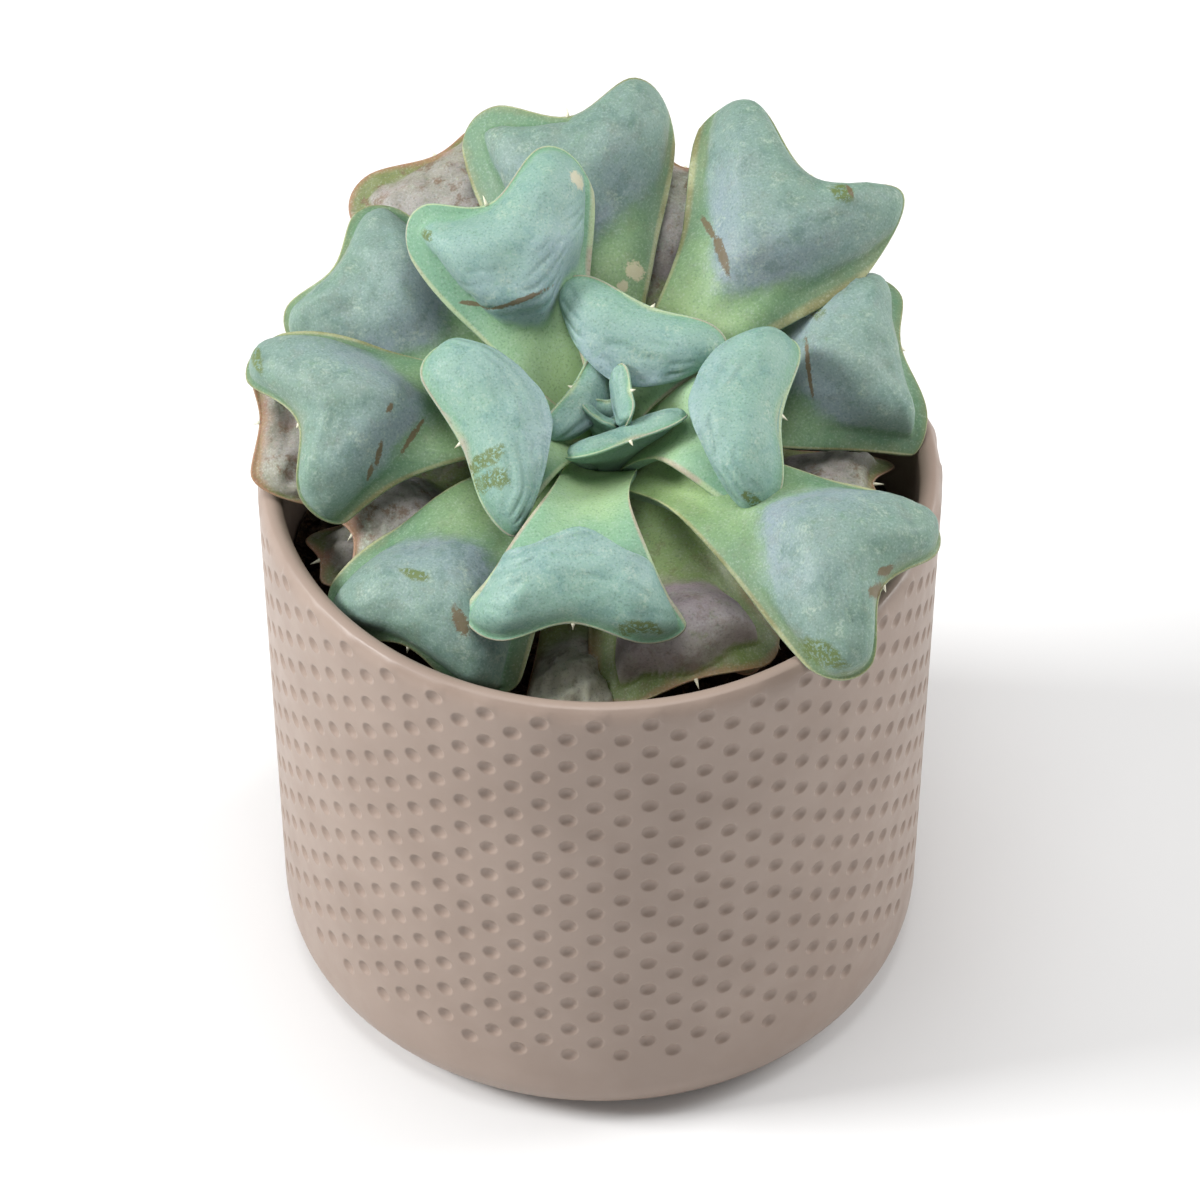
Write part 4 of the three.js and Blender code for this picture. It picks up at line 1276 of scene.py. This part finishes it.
@dataclass
class Rosette:
    """The leaves, youngest first, and the spines at their notches."""

    leaves: list[Leaf]
    spine_radius: float = 0.42
    spine_sides: int = 8

    def spines(self, placement: Placement) -> bpy.types.Object:
        """A slim pale point at each notch."""
        grown = [leaf for leaf in self.leaves if leaf.spine > 0]
        spots = [leaf.notch(placement) for leaf in grown]
        mesh = bpy.data.meshes.new("spine_spots")
        mesh.from_pydata([tuple(spot) for spot, _ in spots], [], [])
        aims = np.array([aim for _, aim in spots], dtype=np.float32)
        sizes = np.array([leaf.spine * MM for leaf in grown], dtype=np.float32)
        mesh.attributes.new("aim", "FLOAT_VECTOR", "POINT").data.foreach_set("vector", aims.ravel())
        mesh.attributes.new("long", "FLOAT", "POINT").data.foreach_set("value", sizes)

        tree = Growth("notch_spines")
        radius = tree.size("Spine Radius", self.spine_radius * MM)
        sides = tree.size("Spine Sides", self.spine_sides)
        shape = {"Vertices": sides, "Side Segments": 3, "Radius Top": 0.00003, "Radius Bottom": radius, "Depth": 1.0}
        cone = tree.node("GeometryNodeMeshCone", shape).outputs[0]
        aim = tree.node("GeometryNodeInputNamedAttribute", {"Name": "aim"}, data_type="FLOAT_VECTOR").outputs[0]
        long = tree.node("GeometryNodeInputNamedAttribute", {"Name": "long"}, data_type="FLOAT").outputs[0]
        turned = tree.node("FunctionNodeAlignRotationToVector", {"Vector": aim}, axis="Z").outputs[0]
        scale = tree.node("ShaderNodeCombineXYZ", {0: 1.0, 1: 1.0, 2: long}).outputs[0]
        laid = {"Points": tree.entry.outputs[0], "Instance": cone, "Rotation": turned, "Scale": scale}
        standing = tree.node("GeometryNodeInstanceOnPoints", laid).outputs[0]
        made = tree.apply(seed_object("spine_seed", mesh), standing, SpineFinish().material())
        return add_piece("notch_spines", made, "young_leaf")

    def build(self, placement: Placement) -> None:
        """Build every leaf, then the spines."""
        for leaf in self.leaves:
            leaf.build(placement)
        self.spines(placement)


YOUNG_LEAVES = [
    Leaf(
        "leaf_01", 8, (1.7, -11), (84, 80, 72), 12.5, (6.5, 6.5), 2.6, (1, 1), (2.2, 2.2),
        roll=-20, pillow=2, start=0.4, thick=1.8, spine=0.9,
    ),
    Leaf(
        "leaf_02", 150, (2.3, -11.5), (78, 66, 45), 11, (10, 11), 3, (0.4, 0.4), (4, 5),
        cup=22, roll=10, pillow=2.6, start=0.25, lean=0.4, thick=2.1, spine=0.9,
    ),
    Leaf(
        "leaf_03", 294, (2.9, -16), (80, 68, 48), 17.5, (12, 12), 4.2, (1.6, 1.6), (3.2, 3.2),
        cup=22, roll=-8, pillow=2.6, start=0.45, arch=0.35, lean=0.4, thick=2.4, spine=1.2,
    ),
    Leaf(
        "leaf_04", 65, (3.4, -13.5), (68, 50, 26), 24, (16, 19), 4.6, (1.5, 1.5), (5, 5), twist=6,
        cup=22, roll=25, pillow=5, start=0.45, arch=0.35, steep=0.09, lean=0.6, thick=2.4, flare=1.6,
        arch_curve=2.8, fullness=0.6,
    ),
    Leaf(
        "leaf_05", 201, (3.9, -14), (58, 42, -2), 31, (19.5, 19.5), 5.2, (0.5, 2.5), (8, 6), twist=-20, sweep=8,
        cup=22, roll=12, pillow=7, start=0.55, arch=0.45, steep=0.1, lean=0.55, thick=2.6, flare=1.8,
        arch_curve=2.8, fullness=0.6,
    ),
    Leaf(
        "leaf_06", 348, (4.4, -14.5), (54, 42, 2), 34, (19.5, 19.5), 5.6, (2.4, 1.2), (8, 5), twist=10, sweep=2,
        cup=22, roll=32, pillow=7.5, start=0.6, arch=0.36, steep=0.1, lean=0.55, thick=2.8, flare=1.8,
        arch_curve=2.8, fullness=0.6,
    ),
    Leaf(
        "leaf_07", 127, (4.8, -15), (50, 38, 26), 45.5, (21.3, 16.8), 6, (8, 4.1), (12.5, 7.5), twist=-6,
        sweep=-13, cup=25, roll=32, pillow=7, start=0.44, arch=0.12, steep=0.2, lean=0.2, thick=3, flare=1.5,
        flange=(0.8, 3),
    ),
    Leaf(
        "leaf_08", 261, (5.2, -15.5), (46, 33, -34), 47.5, (21.5, 21.5), 6.5, (4.4, 3.6), (6.6, 5.4), sweep=5,
        cup=25, roll=38, pillow=6.5, start=0.69, arch=0, steep=0.07, lean=0.5, thick=3.2, flare=3.2,
        flange=(0.8, 0.8),
    ),
]

GROWN_LEAVES = [
    Leaf(
        "leaf_09", 47, (5.5, -15.2), (40, 27, 2), 58.5, (19.5, 25), 6.5, (10, 11), (19, 11), twist=10,
        sweep=10, cup=22, roll=35, pillow=5, start=0.45, steep=0.3, lean=0, thick=3.4, flare=1.9,
        lobe_top=0.55, flange=(0.8, 0.8),
    ),
    Leaf(
        "leaf_10", 182, (5.8, -16), (36, 32, -22), 54.5, (21, 20), 6.5, (7, 6.6), (7.2, 8.8), twist=-20,
        sweep=8, cup=25, steep=0.3, lean=0.2, flare=2, flange=(1, 1),
    ),
    Leaf(
        "leaf_11", 319, (6.1, -17), (35, 28, -22), 61.5, (20.5, 20.5), 6.5, (7.5, 4.5), (9.3, 7.7), twist=4,
        sweep=8, cup=25, roll=32, steep=0.3, lean=0.2, flare=1.6, flange=(0.8, 0.8),
    ),
    Leaf(
        "leaf_12", 98, (6.4, -18), (34, 29, 14), 58.5, (20.2, 21.5), 6.5, (7.8, 5), (13, 7), twist=-6,
        sweep=-3, cup=25, roll=35, pillow=5, steep=0.3, lean=0, flare=1.3, flange=(0.6, 4.5),
    ),
    Leaf(
        "leaf_13", 228, (6.6, -19), (27, 21, -46), 52.5, (21.3, 21.3), 6.5, (5.5, 4.5), (8, 9), twist=-8,
        sweep=6, cup=25, steep=0.3, lean=0.2, flange=(3, 2.5),
    ),
    Leaf(
        "leaf_14", 18, (6.8, -20), (29, 27, -18), 52.5, (20, 20.5), 6.5, (4, 4.5), (4, 7), twist=14,
        cup=25, roll=42, steep=0.3, lean=0.2, flange=(3.5, 2.5),
    ),
    Leaf(
        "leaf_15", 146, (7, -21), (27, 17, -7), 57, (18, 18), 6.5, (4.3, 5.7), (6.8, 9.2), twist=-24,
        sweep=-6, cup=25, roll=45, pillow=5, steep=0.3, flange=(2, 1.5),
    ),
    Leaf(
        "leaf_16", 289, (7, -22), (15, 10, -27), 43, (19, 19), 6.5, (1, 1), (9, 9), twist=8, cup=25, steep=0.3,
        flange=(4.5, 4.5),
    ),
]

OLD_LEAVES = [
    Leaf("leaf_17", 76, (7, -23), (26, 20, 5), 55, (13, 13), 6, (5, 5), (8, 8), cup=25, pillow=4, flange=(1, 1)),
    Leaf(
        "leaf_18", 200, (7, -24), (22, 8, -10), 43, (12, 12), 6, (3, 3), (5, 5), twist=-6,
        roll=30, pillow=4, thick=2.8,
    ),
    Leaf(
        "leaf_19", 356, (7, -25), (14, 7, -8), 42, (10, 10), 6, (4, 4), (6, 6), twist=-10,
        roll=30, pillow=3, thick=2.8, flange=(3, 3),
    ),
    Leaf(
        "leaf_20", 115, (7, -26), (22, 17, -4), 67, (18, 20), 6, (4, 4), (8, 8), sweep=4,
        roll=30, pillow=3, thick=2.6, flange=(1.5, 4),
    ),
    Leaf("leaf_21", 262, (7, -26), (1, -6, -8), 49, (9, 9), 6, (2, 2), (5, 5), roll=30, pillow=3, thick=2.4),
    Leaf(
        "leaf_22", 178, (7, -28), (24, 23, 5), 59, (15, 15), 6, (2, 1), (6, 15), twist=-8,
        roll=20, pillow=3, thick=2.4, flange=(1, 1),
    ),
    Leaf(
        "leaf_23", 198, (7, -29), (6, 2, 0), 48, (8, 6), 6, (1, 1), (5, 5),
        roll=30, pillow=3, thick=2.4, flange=(3, 2.5),
    ),
    Leaf("leaf_24", 40, (7, -29), (8, 2, -10), 39, (11, 11), 6, (3, 3), (6, 6), roll=30, pillow=3, thick=2.4),
    Leaf("leaf_25", 96, (7, -30), (4, 0, -10), 38.5, (11, 11), 6, (3, 3), (6, 6), roll=30, pillow=3, thick=2.4),
    Leaf("leaf_26", 312, (7, -30), (12, 5, -8), 39, (10, 10), 6, (2, 2), (6, 6), roll=30, pillow=3, thick=2.4),
]


@dataclass
class Studio:
    """White sweep, soft lights and the camera. Sizes here are in metres."""

    floor_size: float = 8.0
    air_light: float = 0.16
    distance: float = 2.0
    elevation: float = 45.0
    aim_height: float = 0.0782
    lens: float = 325.6

    def floor(self) -> None:
        """A plain pale floor."""
        shader = Shader("white_floor")
        haze = shader.remap(shader.noise(shader.place(), 900, 1), 0.3, 0.7, 0, 1)
        colour = shader.blend((0.8, 0.8, 0.8), (0.81, 0.81, 0.81), haze)
        material = shader.finish(colour, 0.9, None, Specular_IOR_Level=0.1)
        half = self.floor_size / 2
        mesh = bpy.data.meshes.new("floor")
        corners = [(-half, -half, 0), (half, -half, 0), (half, half, 0), (-half, half, 0)]
        mesh.from_pydata(corners, [], [(0, 1, 2, 3)])
        mesh.materials.append(material)
        floor = bpy.data.objects.new("floor", mesh)
        bpy.context.scene.collection.objects.link(floor)

    def softbox(self, name: str, place: Colour, width: float, height: float, power: float) -> None:
        """A rectangular soft light that faces the plant.

        Args:
            name: The light's name.
            place: Where it stands.
            width: Its width.
            height: Its height.
            power: Its power in watts.
        """
        data = bpy.data.lights.new(name, "AREA")
        data.shape = "RECTANGLE"
        data.size = width
        data.size_y = height
        data.energy = power
        lamp = bpy.data.objects.new(name, data)
        lamp.location = place
        towards = Vector((0, 0, 0.08)) - Vector(place)
        lamp.rotation_euler = towards.to_track_quat("-Z", "Y").to_euler()
        bpy.context.scene.collection.objects.link(lamp)

    def camera(self) -> None:
        """The camera of the photograph, level-sided and looking down at the pot's axis."""
        data = bpy.data.cameras.new("camera")
        data.lens = self.lens
        data.sensor_width = 36
        data.clip_end = 30
        camera = bpy.data.objects.new("camera", data)
        angle = math.radians(self.elevation)
        reach = self.distance * math.cos(angle)
        camera.location = (0, -reach, self.aim_height + self.distance * math.sin(angle))
        camera.rotation_euler = (math.pi / 2 - angle, 0, 0)
        bpy.context.scene.collection.objects.link(camera)
        bpy.context.scene.camera = camera

    def build(self) -> None:
        """Set up the studio."""
        world = bpy.data.worlds.new("studio_air")
        world.use_nodes = True
        air = world.node_tree.nodes["Background"]
        air.inputs["Color"].default_value = (1, 1, 1, 1)
        air.inputs["Strength"].default_value = self.air_light
        bpy.context.scene.world = world
        bpy.context.scene.view_settings.view_transform = "Standard"
        self.floor()
        self.softbox("key_left", (-1.6, -0.12, 1.15), 0.65, 0.65, 40)
        self.softbox("fill_right", (1.55, 0.6, 0.9), 1.0, 1.0, 25)
        self.softbox("fill_front", (0.1, -2.2, 1.5), 1.2, 1.2, 6)
        self.softbox("overhead", (-0.1, -0.1, 2.2), 1.2, 1.2, 23)
        self.camera()


def main() -> None:
    """Build the studio and the plant, piece by piece."""
    logging.basicConfig(level=logging.INFO, format="%(name)s %(message)s")
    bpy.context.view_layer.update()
    placement = Placement()
    Studio().build()
    pot = Pot()
    pot.build()
    PottingSoil().build(pot, placement)
    Stem().build(placement)
    Rosette(YOUNG_LEAVES + GROWN_LEAVES + OLD_LEAVES).build(placement)


if __name__ == "__main__":
    main()
